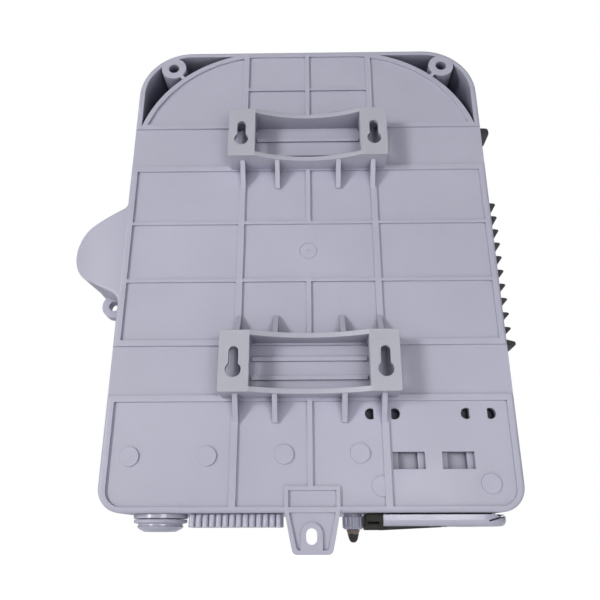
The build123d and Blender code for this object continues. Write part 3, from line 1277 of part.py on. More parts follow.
with BuildPart() as adapter_panel:
    half_wide = ADAPTER_COLUMNS * ADAPTER_PITCH / 2 + 4
    add(slab(-half_wide, half_wide, LOW_BOSS, ADAPTER_DEPTHS[1] + 10,
             ADAPTER_HEIGHT - PANEL_THICK, ADAPTER_HEIGHT))
    add(slab(-half_wide, half_wide, LOW_BOSS, LOW_BOSS + PANEL_THICK,
             ADAPTER_HEIGHT - PANEL_THICK, PANEL_BOSSES[0][1] + 5.5))
    with BuildSketch(level(ADAPTER_HEIGHT)):
        with Locations(*ADAPTER_PLACES):
            Rectangle(ADAPTER_WIDE + 0.3, ADAPTER_THICK + 0.3)
    extrude(amount=-3, mode=Mode.SUBTRACT)
    with BuildSketch(layer(LOW_BOSS)):
        with Locations(*PANEL_BOSSES):
            Circle(SCREW_RADIUS + RUNNING)
    extrude(amount=3, mode=Mode.SUBTRACT)

with BuildPart() as panel_screws:
    add(screws(layer(LOW_BOSS + 2.05), PANEL_BOSSES, 9.0))
    add(screws(layer(LOW_BOSS + 2.05), TRAY_BOSSES, 9.0))
    add(screws(layer(LOW_BOSS + 2.55), COMB_BOSSES, 9.0))

# SC adapters: a flanged sleeve with a ferrule tube, open to both ends
with BuildPart() as sc_adapters:
    middle_height = ADAPTER_HEIGHT - PANEL_THICK / 2
    with BuildSketch(level(middle_height - ADAPTER_LONG / 2)):
        with Locations(*ADAPTER_PLACES):
            Rectangle(ADAPTER_WIDE, ADAPTER_THICK)
            Rectangle(9.2, 7.2, mode=Mode.SUBTRACT)
    extrude(amount=ADAPTER_LONG)
    with BuildSketch(level(ADAPTER_HEIGHT + 0.05)):
        with Locations(*ADAPTER_PLACES):
            Rectangle(16.0, ADAPTER_THICK + 2)
            Rectangle(9.2, 7.2, mode=Mode.SUBTRACT)
    extrude(amount=1.8)
    with BuildSketch(level(middle_height - 1)):
        with Locations(*ADAPTER_PLACES):
            Rectangle(9.4, 7.4)
            Circle(1.3, mode=Mode.SUBTRACT)
    extrude(amount=2.0)
    with BuildSketch(level(middle_height - 7)):
        with Locations(*ADAPTER_PLACES):
            Circle(2.2)
            Circle(1.3, mode=Mode.SUBTRACT)
    extrude(amount=14.0)

# dust caps in the customer side of the adapters
with BuildPart() as dust_caps:
    cap_top = middle_height - ADAPTER_LONG / 2
    with BuildSketch(level(cap_top - 0.05)):
        with Locations(*ADAPTER_PLACES):
            Rectangle(10.4, 8.4)
    extrude(amount=-7.0, taper=3)
    with BuildSketch(level(cap_top - 0.1)):
        with Locations(*ADAPTER_PLACES):
            Rectangle(9.0, 7.0)
            Circle(2.4, mode=Mode.SUBTRACT)
    extrude(amount=6.0)

# ---------------------------------------------------------------- fibre guides and earth point
GUIDE_PLACES = [(side * 86.0, height) for side in (-1, 1) for height in (50.0, 98.0)]
with BuildPart() as fibre_guides:
    with BuildSketch(layer(INNER_FLOOR)):
        with Locations(*GUIDE_PLACES):
            Rectangle(14.0, 8.0)
    extrude(amount=11.0)
    with BuildSketch(layer(INNER_FLOOR + 1.6)):
        with Locations(*GUIDE_PLACES):
            Rectangle(10.8, 9.0)
    extrude(amount=7.8, mode=Mode.SUBTRACT)
    with BuildSketch(layer(INNER_FLOOR + 9)):
        with Locations(*[(x + 2.0, height) for x, height in GUIDE_PLACES]):
            Rectangle(2.5, 9.0)
    extrude(amount=4.0, mode=Mode.SUBTRACT)

with BuildPart() as earth_stud:
    with BuildSketch(layer(LOW_BOSS + 0.05)):
        with Locations(EARTH_POST):
            RegularPolygon(4.6, 6)
    extrude(amount=2.5)
    with BuildSketch(layer(LOW_BOSS + 0.05)):
        with Locations(EARTH_POST):
            Circle(2.0)
    extrude(amount=14.0)
    with BuildSketch(layer(LOW_BOSS + 0.05)):
        with Locations(EARTH_POST):
            Circle(SCREW_RADIUS)
    extrude(amount=-6.0)

with BuildPart() as earth_nut:
    with BuildSketch(layer(LOW_BOSS + 4.0)):
        with Locations(EARTH_POST):
            Circle(4.5)
            Circle(2.0 + RUNNING, mode=Mode.SUBTRACT)
    extrude(amount=0.8)
    with BuildSketch(layer(LOW_BOSS + 4.8)):
        with Locations(EARTH_POST):
            RegularPolygon(4.0, 6)
            Circle(2.0 + RUNNING, mode=Mode.SUBTRACT)
    extrude(amount=3.2)

# ---------------------------------------------------------------- labels and files
PIECES = {
    "back_shell": back_shell, "front_cover": front_cover, "cover_gasket": cover_gasket,
    "hinge_pins": hinge_pins, "lock_body": lock_body, "lock_nut": lock_nut,
    "lock_barrel": lock_barrel, "lock_cam": lock_cam, "cam_screw": cam_screw,
    "latch_keeper": latch_keeper, "keeper_screw": keeper_screw,
    "drop_cable_seal": drop_cable_seal,
    "drop_cable_comb": drop_cable_comb, "bottom_port_strip": bottom_port_strip,
    "gland_body": gland_body, "gland_nut": gland_nut, "gland_seal": gland_seal,
    "gland_locknut": gland_locknut, "earth_gland_body": earth_gland_body,
    "earth_gland_nut": earth_gland_nut, "earth_gland_plug": earth_gland_plug,
    "express_seal": express_seal, "express_clamp": express_clamp,
    "express_screws": express_screws, "express_retainer": express_retainer,
    "feeder_clamp": feeder_clamp, "drop_clamp": drop_clamp, "clamp_screws": clamp_screws,
    "splitter_module": splitter_module, "splitter_boots": splitter_boots,
    "splitter_screws": splitter_screws, "tray_brackets": tray_brackets, "tray_pins": tray_pins,
    "splice_tray": splice_tray, "splice_holder": splice_holder,
    "splice_sleeves": splice_sleeves, "tray_cover": tray_cover,
    "adapter_panel": adapter_panel, "panel_screws": panel_screws, "sc_adapters": sc_adapters,
    "dust_caps": dust_caps, "fibre_guides": fibre_guides, "earth_stud": earth_stud,
    "earth_nut": earth_nut,
}

os.makedirs("parts", exist_ok=True)
for name, piece in PIECES.items():
    piece.part.label = name
    export_step(piece.part, f"parts/{name}.step")
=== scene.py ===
import math

import bmesh
import bpy
from mathutils import Matrix, Vector


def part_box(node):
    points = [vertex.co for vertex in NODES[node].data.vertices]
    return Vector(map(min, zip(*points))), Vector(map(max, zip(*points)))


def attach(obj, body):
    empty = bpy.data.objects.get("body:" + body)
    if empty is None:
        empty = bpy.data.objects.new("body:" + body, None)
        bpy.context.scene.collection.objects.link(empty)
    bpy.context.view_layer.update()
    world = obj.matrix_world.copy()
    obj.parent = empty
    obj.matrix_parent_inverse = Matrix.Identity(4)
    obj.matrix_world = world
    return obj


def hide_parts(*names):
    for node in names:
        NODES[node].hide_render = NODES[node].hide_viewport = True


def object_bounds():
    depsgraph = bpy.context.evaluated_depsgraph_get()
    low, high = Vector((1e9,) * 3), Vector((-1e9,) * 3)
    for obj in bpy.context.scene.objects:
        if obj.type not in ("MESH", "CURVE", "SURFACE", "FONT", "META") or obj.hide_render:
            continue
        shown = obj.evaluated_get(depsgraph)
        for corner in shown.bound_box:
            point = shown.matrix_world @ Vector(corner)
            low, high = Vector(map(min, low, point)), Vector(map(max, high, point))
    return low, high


# Looks for a fibre termination box. Everything is in metres, in the CAD frame:
# +X right seen from the front, +Y towards the wall, +Z up, origin on the wall.
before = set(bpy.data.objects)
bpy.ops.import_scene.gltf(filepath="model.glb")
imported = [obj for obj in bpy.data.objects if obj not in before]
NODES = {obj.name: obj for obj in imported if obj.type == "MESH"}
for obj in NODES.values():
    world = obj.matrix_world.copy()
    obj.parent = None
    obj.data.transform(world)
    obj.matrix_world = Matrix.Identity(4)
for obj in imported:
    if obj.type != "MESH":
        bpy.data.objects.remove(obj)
CAD_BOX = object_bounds()

MM = 0.001
SHELL_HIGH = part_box("back_shell")[1]
BRACKET_TALL = 17 * MM       # how far the wall brackets stand out from the back face


# ---------------------------------------------------------------- colour helpers
def srgb(red, green, blue):
    """Screen colour, 0 to 255 a channel, as linear RGBA."""
    def linear(value):
        value = value / 255
        return value / 12.92 if value <= 0.04045 else ((value + 0.055) / 1.055) ** 2.4
    return (linear(red), linear(green), linear(blue), 1.0)


def scaled_to(colour, factors):
    """A colour with each channel scaled by its own factor."""
    return tuple(min(1.0, channel * factor) for channel, factor in zip(colour, factors)) + (1.0,)


def scaled(colour, factor):
    """A colour made lighter or darker."""
    return scaled_to(colour, (factor, factor, factor))


# ---------------------------------------------------------------- node helpers
class Shader:
    """Builds one node material; every method returns an output socket."""

    def __init__(self, name):
        self.material = bpy.data.materials.new(name)
        self.material.use_nodes = True
        self.tree = self.material.node_tree
        self.principled = self.tree.nodes["Principled BSDF"]
        coords = self.tree.nodes.new("ShaderNodeTexCoord")
        self.place = coords.outputs["Object"]

    def node(self, kind, inputs, **settings):
        made = self.tree.nodes.new(kind)
        for key, value in settings.items():
            setattr(made, key, value)
        for key, value in inputs.items():
            self.feed(made.inputs[key], value)
        return made

    def feed(self, socket, value):
        if isinstance(value, bpy.types.NodeSocket):
            self.tree.links.new(value, socket)
        else:
            socket.default_value = value

    def noise(self, scale, detail=3.0, rough=0.55, stretch=(1, 1, 1)):
        spread = self.node("ShaderNodeMapping", {"Vector": self.place, "Scale": stretch})
        made = self.node("ShaderNodeTexNoise", {
            "Vector": spread.outputs["Vector"], "Scale": scale, "Detail": detail, "Roughness": rough})
        return made.outputs["Fac"]

    def cells(self, scale):
        made = self.node("ShaderNodeTexVoronoi", {"Vector": self.place, "Scale": scale})
        return made.outputs["Distance"]

    def scratches(self, scale):
        """1 along a few thin wandering hairlines."""
        bent = self.node("ShaderNodeTexNoise", {"Vector": self.place, "Scale": scale * 0.4, "Detail": 1.0})
        moved = self.node("ShaderNodeVectorMath", {0: bent.outputs["Color"], 1: (0.04, 0.04, 0.04)},
                          operation="MULTIPLY")
        place = self.node("ShaderNodeVectorMath", {0: self.place, 1: moved.outputs["Vector"]})
        cells = self.node("ShaderNodeTexVoronoi", {"Vector": place.outputs["Vector"], "Scale": scale},
                          feature="DISTANCE_TO_EDGE")
        return self.span(cells.outputs["Distance"], 0.002, 0.006, 1.0, 0.0)

    def span(self, value, low, high, new_low, new_high):
        made = self.node("ShaderNodeMapRange", {
            "Value": value, "From Min": low, "From Max": high, "To Min": new_low, "To Max": new_high})
        made.clamp = True
        return made.outputs["Result"]

    def math(self, operation, first, second):
        made = self.node("ShaderNodeMath", {0: first, 1: second}, operation=operation)
        return made.outputs["Value"]

    def mix(self, factor, first, second):
        made = self.tree.nodes.new("ShaderNodeMix")
        made.data_type = "RGBA"
        self.feed(made.inputs["Factor"], factor)
        self.feed(made.inputs[6], first)
        self.feed(made.inputs[7], second)
        return made.outputs[2]

    def soft_edge(self, radius):
        """Normal with every hard edge rounded over by radius."""
        return self.node("ShaderNodeBevel", {"Radius": radius}, samples=6).outputs["Normal"]

    def edge_mask(self, radius):
        """1 near hard edges and 0 on flat faces."""
        rounded = self.soft_edge(radius)
        flat = self.node("ShaderNodeNewGeometry", {}).outputs["Normal"]
        dot = self.node("ShaderNodeVectorMath", {0: rounded, 1: flat}, operation="DOT_PRODUCT")
        return self.span(dot.outputs["Value"], 0.995, 0.85, 0.0, 1.0)

    def crevice(self, distance):
        """1 in open places and 0 deep in corners."""
        made = self.node("ShaderNodeAmbientOcclusion", {"Distance": distance}, samples=6, only_local=True)
        return made.outputs["AO"]

    def bump(self, height, strength, distance, normal=None):
        inputs = {"Height": height, "Strength": strength, "Distance": distance}
        if normal is not None:
            inputs["Normal"] = normal
        return self.node("ShaderNodeBump", inputs).outputs["Normal"]

    def finish(self, **inputs):
        for key, value in inputs.items():
            self.feed(self.principled.inputs[key.replace("_", " ")], value)
        return self.material


# ---------------------------------------------------------------- materials
def moulded_plastic(name, colour, grain=1400.0, rough=0.42, edge=0.35 * MM, grain_depth=0.25,
                    cloud=0.05, wall_wear=False):
    """Injection-moulded plastic: faint flow clouds, fine grain, softened and slightly worn edges, painted
    shade deep in pockets and painted near-black shade in narrow bores.
    """
    shader = Shader(name)
    clouds = shader.span(shader.noise(16.0, detail=5.0), 0.3, 0.7, 0.0, 1.0)
    streaks = shader.noise(9.0, detail=4.0, stretch=(1.0, 1.0, 0.15))
    body = shader.mix(clouds, scaled(colour, 1.0 - cloud), scaled(colour, 1.0 + cloud * 0.6))
    body = shader.mix(shader.span(streaks, 0.45, 0.8, 0.0, 0.12), body, scaled(colour, 1.12))
    if wall_wear:
        # the pads' faces, nearest the wall, are rubbed to a flatter grey
        split = shader.node("ShaderNodeSeparateXYZ", {"Vector": shader.place})
        near_wall = shader.span(split.outputs["Y"], -14 * MM, -1 * MM, 0.0, 0.7)
        body = shader.mix(near_wall, body, srgb(176, 176, 184))
    # painted shade: deep pockets and corners are darkened to a bluish near-black by an occlusion test, in
    # place of the shade that falls there
    deep = shader.span(shader.crevice(45 * MM), 0.05, 0.46, 0.0, 1.0)
    shaded = shader.mix(deep, scaled_to(colour, (0.15, 0.15, 0.22)), body)
    # painted shade: narrow bores and holes are darkened almost to black by a short occlusion test
    bore = shader.span(shader.crevice(9 * MM), 0.02, 0.30, 0.0, 1.0)
    shaded = shader.mix(bore, scaled_to(colour, (0.04, 0.04, 0.05)), shaded)
    worn = shader.math("MULTIPLY", shader.edge_mask(edge * 1.6),
                       shader.span(shader.noise(220.0), 0.35, 0.75, 0.0, 0.45))
    skin = shader.mix(worn, shaded, scaled(colour, 1.18))
    scratches = shader.math("MULTIPLY", shader.scratches(26.0), shader.span(
        shader.noise(7.0, detail=1.0), 0.60, 0.68, 0.0, 0.16))
    skin = shader.mix(scratches, skin, scaled(colour, 0.6))
    smears = shader.span(shader.noise(34.0, detail=6.0), 0.35, 0.7, rough - 0.06, rough + 0.10)
    grained = shader.bump(shader.noise(grain, detail=2.0), grain_depth, 0.05 * MM, shader.soft_edge(edge))
    return shader.finish(Base_Color=skin, Roughness=smears, Normal=grained, IOR=1.5,
                         Specular_IOR_Level=0.45)


def moulded_rubber(name, colour, rough=0.72, tip=None):
    """Soft rubber: powdery bloom, pores and a weak sheen; below the height tip it is much darker, and tight
    corners get painted shade.
    """
    shader = Shader(name)
    bloom = shader.span(shader.noise(90.0, detail=5.0), 0.42, 0.75, 0.0, 0.35)
    body = shader.mix(bloom, colour, scaled(colour, 1.9))
    if tip is not None:
        # below the height tip the colour is darkened to about a fifth, with a ragged border
        split = shader.node("ShaderNodeSeparateXYZ", {"Vector": shader.place})
        wander = shader.span(shader.noise(400.0), 0.3, 0.7, 0.0, 1.2 * MM)
        ragged = shader.math("ADD", split.outputs["Z"], wander)
        body = shader.mix(shader.span(ragged, tip, tip + 0.9 * MM, 0.0, 1.0), scaled(colour, 0.22), body)
    # painted shade: tight corners and creases of the rubber are darkened by a short occlusion test
    shade_free = shader.span(shader.crevice(3 * MM), 0.2, 1.0, 0.0, 1.0)
    skin = shader.mix(shade_free, scaled(colour, 0.55), body)
    pores = shader.math("ADD", shader.noise(1800.0), shader.math("MULTIPLY", shader.cells(900.0), 0.5))
    normal = shader.bump(pores, 0.35, 0.06 * MM, shader.soft_edge(0.45 * MM))
    varied = shader.span(shader.noise(60.0), 0.3, 0.7, rough - 0.08, rough + 0.1)
    return shader.finish(Base_Color=skin, Roughness=varied, Normal=normal, Specular_IOR_Level=0.35)


def plated_steel(name, colour, rough=0.3, brush=(1, 1, 40)):
    """Zinc-plated steel: brushed one way, clouded plating, dull edges."""
    shader = Shader(name)
    lines = shader.noise(160.0, detail=4.0, stretch=brush)
    spangle = shader.cells(380.0)
    tone = shader.mix(shader.span(spangle, 0.1, 0.7, 0.0, 0.5), colour, scaled(colour, 0.82))
    stained = shader.mix(shader.span(shader.noise(40.0, detail=6.0), 0.55, 0.8, 0.0, 0.5),
                         tone, scaled(colour, 0.66))
    varied = shader.span(lines, 0.3, 0.7, rough - 0.08, rough + 0.14)
    normal = shader.bump(lines, 0.25, 0.03 * MM, shader.soft_edge(0.25 * MM))
    return shader.finish(Base_Color=stained, Metallic=1.0, Roughness=varied, Normal=normal)


def clear_plastic(name, tint, rough=0.08):
    """Clear polycarbonate with fine scuffs."""
    shader = Shader(name)
    scuffs = shader.noise(420.0, detail=6.0, stretch=(1, 6, 1))
    varied = shader.span(scuffs, 0.5, 0.8, rough, rough + 0.25)
    body = shader.mix(shader.span(shader.noise(30.0), 0.3, 0.7, 0.0, 1.0), tint, scaled(tint, 0.94))
    normal = shader.bump(scuffs, 0.08, 0.02 * MM, shader.soft_edge(0.3 * MM))
    return shader.finish(Base_Color=body, Roughness=varied, Normal=normal, Alpha=0.34, IOR=1.58,
                         Specular_IOR_Level=0.6)


SHELL = srgb(181, 181, 197)
MATERIALS = {
    "shell": moulded_plastic("shell_plastic", SHELL, wall_wear=True),
    "cover": moulded_plastic("cover_plastic", scaled(SHELL, 1.03), rough=0.38),
    "ports": moulded_plastic("port_plastic", scaled(SHELL, 0.97), rough=0.24, edge=0.45 * MM),
    "tray": moulded_plastic("tray_plastic", srgb(205, 207, 210), rough=0.36),
    "module": moulded_plastic("module_plastic", srgb(226, 226, 222), rough=0.5),
    "adapter": moulded_plastic("adapter_plastic", srgb(38, 98, 178), rough=0.3, cloud=0.08),
    "cap": moulded_plastic("cap_plastic", srgb(222, 224, 228), rough=0.5),
    "side_rubber": moulded_rubber("side_rubber", srgb(74, 73, 79)),
    "black_rubber": moulded_rubber("black_rubber", srgb(44, 43, 38)),
    "brown_rubber": moulded_rubber("brown_rubber", srgb(128, 113, 106), rough=0.3, tip=-164.2 * MM),
    "gasket": moulded_rubber("gasket_rubber", srgb(62, 62, 66)),
    "boot": moulded_rubber("boot_rubber", srgb(214, 214, 208), rough=0.6),
    "steel": plated_steel("plated_steel", srgb(186, 187, 190)),
    "lock": plated_steel("lock_steel", srgb(196, 196, 198), rough=0.2, brush=(12, 1, 12)),
    "brass": plated_steel("turned_brass", srgb(206, 168, 96), rough=0.25),
    "clear": clear_plastic("clear_plastic", srgb(232, 238, 242)),
    "sleeve": clear_plastic("sleeve_plastic", srgb(236, 236, 230), rough=0.15),
}

NODE_MATERIALS = {
    "back_shell": "shell", "front_cover": "cover", "cover_gasket": "gasket", "hinge_pins": "steel",
    "lock_body": "lock", "lock_nut": "steel", "lock_barrel": "lock", "lock_cam": "steel",
    "cam_screw": "steel", "latch_keeper": "steel", "keeper_screw": "steel",
    "drop_cable_seal": "side_rubber",
    "drop_cable_comb": "tray", "bottom_port_strip": "ports", "gland_body": "ports",
    "gland_nut": "ports", "gland_seal": "black_rubber", "gland_locknut": "ports",
    "earth_gland_body": "ports", "earth_gland_nut": "ports", "earth_gland_plug": "brown_rubber",
    "express_seal": "black_rubber", "express_clamp": "ports", "express_screws": "steel",
    "express_retainer": "steel", "feeder_clamp": "steel", "drop_clamp": "tray",
    "clamp_screws": "steel", "splitter_module": "module", "splitter_boots": "boot",
    "splitter_screws": "steel", "tray_brackets": "steel", "tray_pins": "steel",
    "splice_tray": "tray", "splice_holder": "tray", "splice_sleeves": "sleeve",
    "tray_cover": "clear", "adapter_panel": "steel", "panel_screws": "steel",
    "sc_adapters": "adapter", "dust_caps": "cap", "fibre_guides": "tray",
    "earth_stud": "brass", "earth_nut": "brass",
}

for node_name, material_name in NODE_MATERIALS.items():
    node = NODES[node_name]
    node.data.materials.clear()
    node.data.materials.append(MATERIALS[material_name])


# ---------------------------------------------------------------- soft pieces, modelled anew
BODY_RISE = 4.7 * MM         # the body's middle above the origin
BODY_BOTTOM = -158.0 * MM    # heights below are measured from the body's middle
SEAM = -57.0 * MM
PORT_Y = -37.0 * MM
GLAND_X = 86.0 * MM
EARTH_GLAND_X = -24.2 * MM
ROUND = 48                   # points round a bore


def spot(x, y, height):
    """Point in the frame from X, Y and the height above the body's middle."""
    return Vector((x, y, height + BODY_RISE))


def loft(bm, rings, closed=False):
    """Skin between rings of equally many points; open lofts get end caps."""
    loops = [[bm.verts.new(point) for point in ring] for ring in rings]
    count = len(loops[0])
    pairs = list(zip(loops, loops[1:]))
    if closed:
        pairs.append((loops[-1], loops[0]))
    for first, second in pairs:
        for index in range(count):
            after = (index + 1) % count
            bm.faces.new((first[index], first[after], second[after], second[index]))
    if not closed:
        bm.faces.new(loops[0])
        bm.faces.new(reversed(loops[-1]))


def circle(radius, count=ROUND):
    """Points of a circle in its own plane."""
    return [(radius * math.cos(2 * math.pi * step / count), radius * math.sin(2 * math.pi * step / count))
            for step in range(count)]


def turned(bm, profile, x, y, count=ROUND):
    """Solid turned about an upright line from (radius, height) points, ends included."""
    loft(bm, [[spot(x + u, y + v, height) for u, v in circle(radius, count)] for radius, height in profile])


def reach(inside, centre, step, shrink):
    """Point of a shape's outline seen from centre at one of ROUND directions, drawn in by shrink."""
    angle = 2 * math.pi * step / ROUND
    way = (math.cos(angle), math.sin(angle))
    near, far = 0.0, 80 * MM
    for _ in range(24):
        middle = (near + far) / 2
        if inside(centre[0] + way[0] * middle, centre[1] + way[1] * middle):
            near = middle
        else:
            far = middle
    return (centre[0] + way[0] * (near - shrink), centre[1] + way[1] * (near - shrink))


def pierced(bm, inside, centre, bore, low, high, place, edge=0.4 * MM, lip=0.0):
    """Block of any outline with a round bore, soft edges and an optional raised lip."""
    def outer(shrink, level):
        return [place(*reach(inside, centre, step, shrink), level) for step in range(ROUND)]

    def inner(radius, level):
        return [place(centre[0] + u, centre[1] + v, level) for u, v in circle(radius)]

    rings = [outer(edge, low), outer(edge * 0.3, low + edge * 0.3), outer(0, low + edge),
             outer(0, high - edge), outer(edge * 0.3, high - edge * 0.3), outer(edge, high)]
    if lip:
        rings += [inner(bore + 2.2 * lip, high), inner(bore + 1.7 * lip, high + 0.7 * lip),
                  inner(bore + 1.1 * lip, high + lip), inner(bore + 0.4 * lip, high + 0.9 * lip)]
    rings += [inner(bore + edge * 0.3, high), inner(bore, high - edge),
              inner(bore, low + edge), inner(bore + edge, low)]
    loft(bm, rings, closed=True)


def soft_piece(node_name, bm, material):
    """Turn a finished bmesh into the visible piece in place of one CAD node."""
    bmesh.ops.recalc_face_normals(bm, faces=bm.faces)
    mesh = bpy.data.meshes.new(node_name + "_soft")
    bm.to_mesh(mesh)
    bm.free()
    mesh.materials.append(MATERIALS[material])
    for face in mesh.polygons:
        face.use_smooth = True
    piece = bpy.data.objects.new(node_name + "_soft", mesh)
    bpy.context.scene.collection.objects.link(piece)
    mesh.set_sharp_from_angle(angle=math.radians(50))
    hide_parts(node_name)
    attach(piece, "box")


# strip with the 16 drop-cable ports in the left side
DROP_MIDDLE = 21.1 * MM
DROP_PITCH = 9.82 * MM
DROP_COUNT = 16
DROP_Y = -41.0 * MM
DROP_BORE = 2.3 * MM
SIDE_X = -118.5 * MM
STRIP_OUTER_X = -120.9 * MM
STRIP_INNER_X = -114.5 * MM
STRIP_BACK_Y = -30.4 * MM
STRIP_FRONT_Y = -49.4 * MM
STRIP_JOINT = 0.05 * MM      # half the gap between two cells
STRIP_END = 4.4 * MM         # how far the end cells reach past the last ports
PLUG_END = 2.8 * MM          # the same behind the wall
PLUG_BACK_Y = -32.2 * MM
FIN_TIP_X = -127.2 * MM
BEAD_TIP_X = -129.1 * MM
FIN_COUNT = 10


def strip_fin(bm, height, foot, tip, tip_x):
    """One fin across the strip with a rounded tip and rounded ends."""
    outline = [(STRIP_OUTER_X + 0.4 * MM, foot), (STRIP_OUTER_X, foot),
               (STRIP_OUTER_X - 0.9 * MM, foot * 0.78), (tip_x + 1.4 * MM, tip * 1.06),
               (tip_x + 0.3 * MM, tip * 0.8), (tip_x, tip * 0.4)]
    outline += [(x, -half) for x, half in reversed(outline)]
    ends = ((-33.0 * MM, 0.80), (-33.5 * MM, 0.94), (-34.2 * MM, 1.0),
            (-47.6 * MM, 1.0), (-48.4 * MM, 0.94), (-48.9 * MM, 0.80))
    loft(bm, [[spot(STRIP_OUTER_X + (x - STRIP_OUTER_X) * full, y, height + half * full)
               for x, half in outline] for y, full in ends])


def strip_cell(low, high, front, back):
    """Test for a point, as Y and height, inside one port's cell of the strip."""
    return lambda y, height: front < y < back and low < height < high


def sideways(y, height, out):
    """Point of the side strip from Y, height and the distance to the left of the box's middle."""
    return spot(-out, y, height)


def make_drop_strip():
    """Rubber strip: a soft-edged cell with a lipped bore for each port, fins and end beads."""
    bm = bmesh.new()
    bottom = DROP_MIDDLE - DROP_PITCH * DROP_COUNT / 2
    top = bottom + DROP_PITCH * DROP_COUNT
    for index in range(DROP_COUNT):
        low = bottom + index * DROP_PITCH + STRIP_JOINT
        high = bottom + (index + 1) * DROP_PITCH - STRIP_JOINT
        if index == 0:
            low -= STRIP_END
        if index == DROP_COUNT - 1:
            high += STRIP_END
        centre = (DROP_Y, bottom + (index + 0.5) * DROP_PITCH)
        flange = strip_cell(low, high, STRIP_FRONT_Y, STRIP_BACK_Y)
        plug = strip_cell(max(low, bottom - PLUG_END), min(high, top + PLUG_END),
                          STRIP_FRONT_Y, PLUG_BACK_Y)
        pierced(bm, flange, centre, DROP_BORE, 118.55 * MM, -STRIP_OUTER_X, sideways, lip=0.8 * MM)
        pierced(bm, plug, centre, DROP_BORE, -STRIP_INNER_X, -SIDE_X, sideways)
    for index in range(1, FIN_COUNT + 1):
        strip_fin(bm, bottom + index * DROP_PITCH, 1.3 * MM, 0.8 * MM, FIN_TIP_X)
    strip_fin(bm, bottom, 3.9 * MM, 1.4 * MM, BEAD_TIP_X)
    strip_fin(bm, bottom + DROP_COUNT * DROP_PITCH, 4.1 * MM, 2.8 * MM, BEAD_TIP_X)
    soft_piece("drop_cable_seal", bm, "side_rubber")


# rubber of the express port: block with a slit, flange and plug
EXPRESS_BORES = (-88.0 * MM, -62.0 * MM)
EXPRESS_MIDDLE = -75.45 * MM


def make_express_seal():
    """Slit block beside the clamp, a flange on it, a tongue under it and a plug in the wall's slot."""
    bm = bmesh.new()

    def half_slot(side):
        """Half of a rounded slot, 45.6 mm long and 17.6 mm wide, on one side of its middle."""
        end = EXPRESS_MIDDLE + side * 14.0 * MM

        def inside(x, y):
            beside = (x - EXPRESS_MIDDLE) * side > 0.02 * MM
            straight = (x - end) * side < 0 and abs(y - PORT_Y) < 8.8 * MM
            return beside and (straight or math.hypot(x - end, y - PORT_Y) < 8.8 * MM)
        return inside

    def half_flange(side):
        low, high = (-100.2 * MM, EXPRESS_MIDDLE) if side < 0 else (EXPRESS_MIDDLE + 0.03 * MM, -50.4 * MM)
        return lambda x, y: low < x < high and abs(y - PORT_Y) < 10.9 * MM

    for side, x in zip((-1, 1), EXPRESS_BORES):
        pierced(bm, half_slot(side), (x, PORT_Y), 6.0 * MM, BODY_BOTTOM - 0.15 * MM,
                BODY_BOTTOM + 5.9 * MM, spot)
        pierced(bm, half_flange(side), (x, PORT_Y), 6.0 * MM, BODY_BOTTOM - 2.25 * MM,
                BODY_BOTTOM - 0.22 * MM, spot)
    left, right, low, high = -41.2 * MM, -30.9 * MM, BODY_BOTTOM - 8.7 * MM, BODY_BOTTOM - 0.3 * MM
    slit_left, slit_right = right - 7.2 * MM, right - 0.9 * MM
    slit_low, slit_high = BODY_BOTTOM - 5.7 * MM, BODY_BOTTOM - 4.7 * MM

    def box_ring(x0, x1, z0, z1, corner, y):
        """Rounded rectangle in an upright plane, 4 points a corner."""
        ring = []
        for cx, cz, start in ((x1 - corner, z1 - corner, 0), (x0 + corner, z1 - corner, 90),
                              (x0 + corner, z0 + corner, 180), (x1 - corner, z0 + corner, 270)):
            for step in range(4):
                angle = math.radians(start + 30 * step)
                ring.append(spot(cx + corner * math.cos(angle), y, cz + corner * math.sin(angle)))
        return ring

    def outer(inset, y):
        return box_ring(left + inset, right - inset, low + inset, high - inset, 0.9 * MM, y)

    def inner(inset, y):
        return box_ring(slit_left - inset, slit_right + inset, slit_low - inset, slit_high + inset,
                        0.35 * MM, y)

    back, front = PORT_Y + 12.9 * MM, PORT_Y - 12.9 * MM
    soft = 0.7 * MM
    deep = 4.9 * MM
    loft(bm, [inner(0, back - deep), inner(0, back - soft * 0.5), inner(soft * 0.5, back),
              outer(soft, back), outer(soft * 0.3, back - soft * 0.3), outer(0, back - soft),
              outer(0, front + soft), outer(soft * 0.3, front + soft * 0.3), outer(soft, front),
              inner(soft * 0.5, front), inner(0, front + soft * 0.5), inner(0, front + deep)])
    # tongue under the clamp, thinner towards its left end, open round the screw and the cable
    clamp_low = BODY_BOTTOM - 7.1 * MM
    tongue_left, tongue_right, tongue_half = -75.5 * MM, -40.3 * MM, 11.9 * MM
    open_half = 6.3 * MM
    last = 12

    def tongue_ring(x, inset, side):
        """Rounded section across one side of the tongue at one X."""
        drop = (clamp_low - low) * (x - tongue_left) / (tongue_right - tongue_left) + 0.15 * MM
        half = tongue_half - inset
        corner = min(0.6 * MM, 0.45 * drop)
        bottom = clamp_low - drop
        section = ((half, clamp_low), (half, bottom + corner), (half - 0.3 * corner, bottom + 0.3 * corner),
                   (half - corner, bottom), (open_half, bottom), (open_half, clamp_low))
        return [spot(x, PORT_Y - side * out, height) for out, height in section]

    for side in (1, -1):
        loft(bm, [tongue_ring(tongue_left + (tongue_right - tongue_left) * step / last,
                              0.5 * MM if step in (0, last) else 0.0, side) for step in range(last + 1)])
    soft_piece("express_seal", bm, "black_rubber")


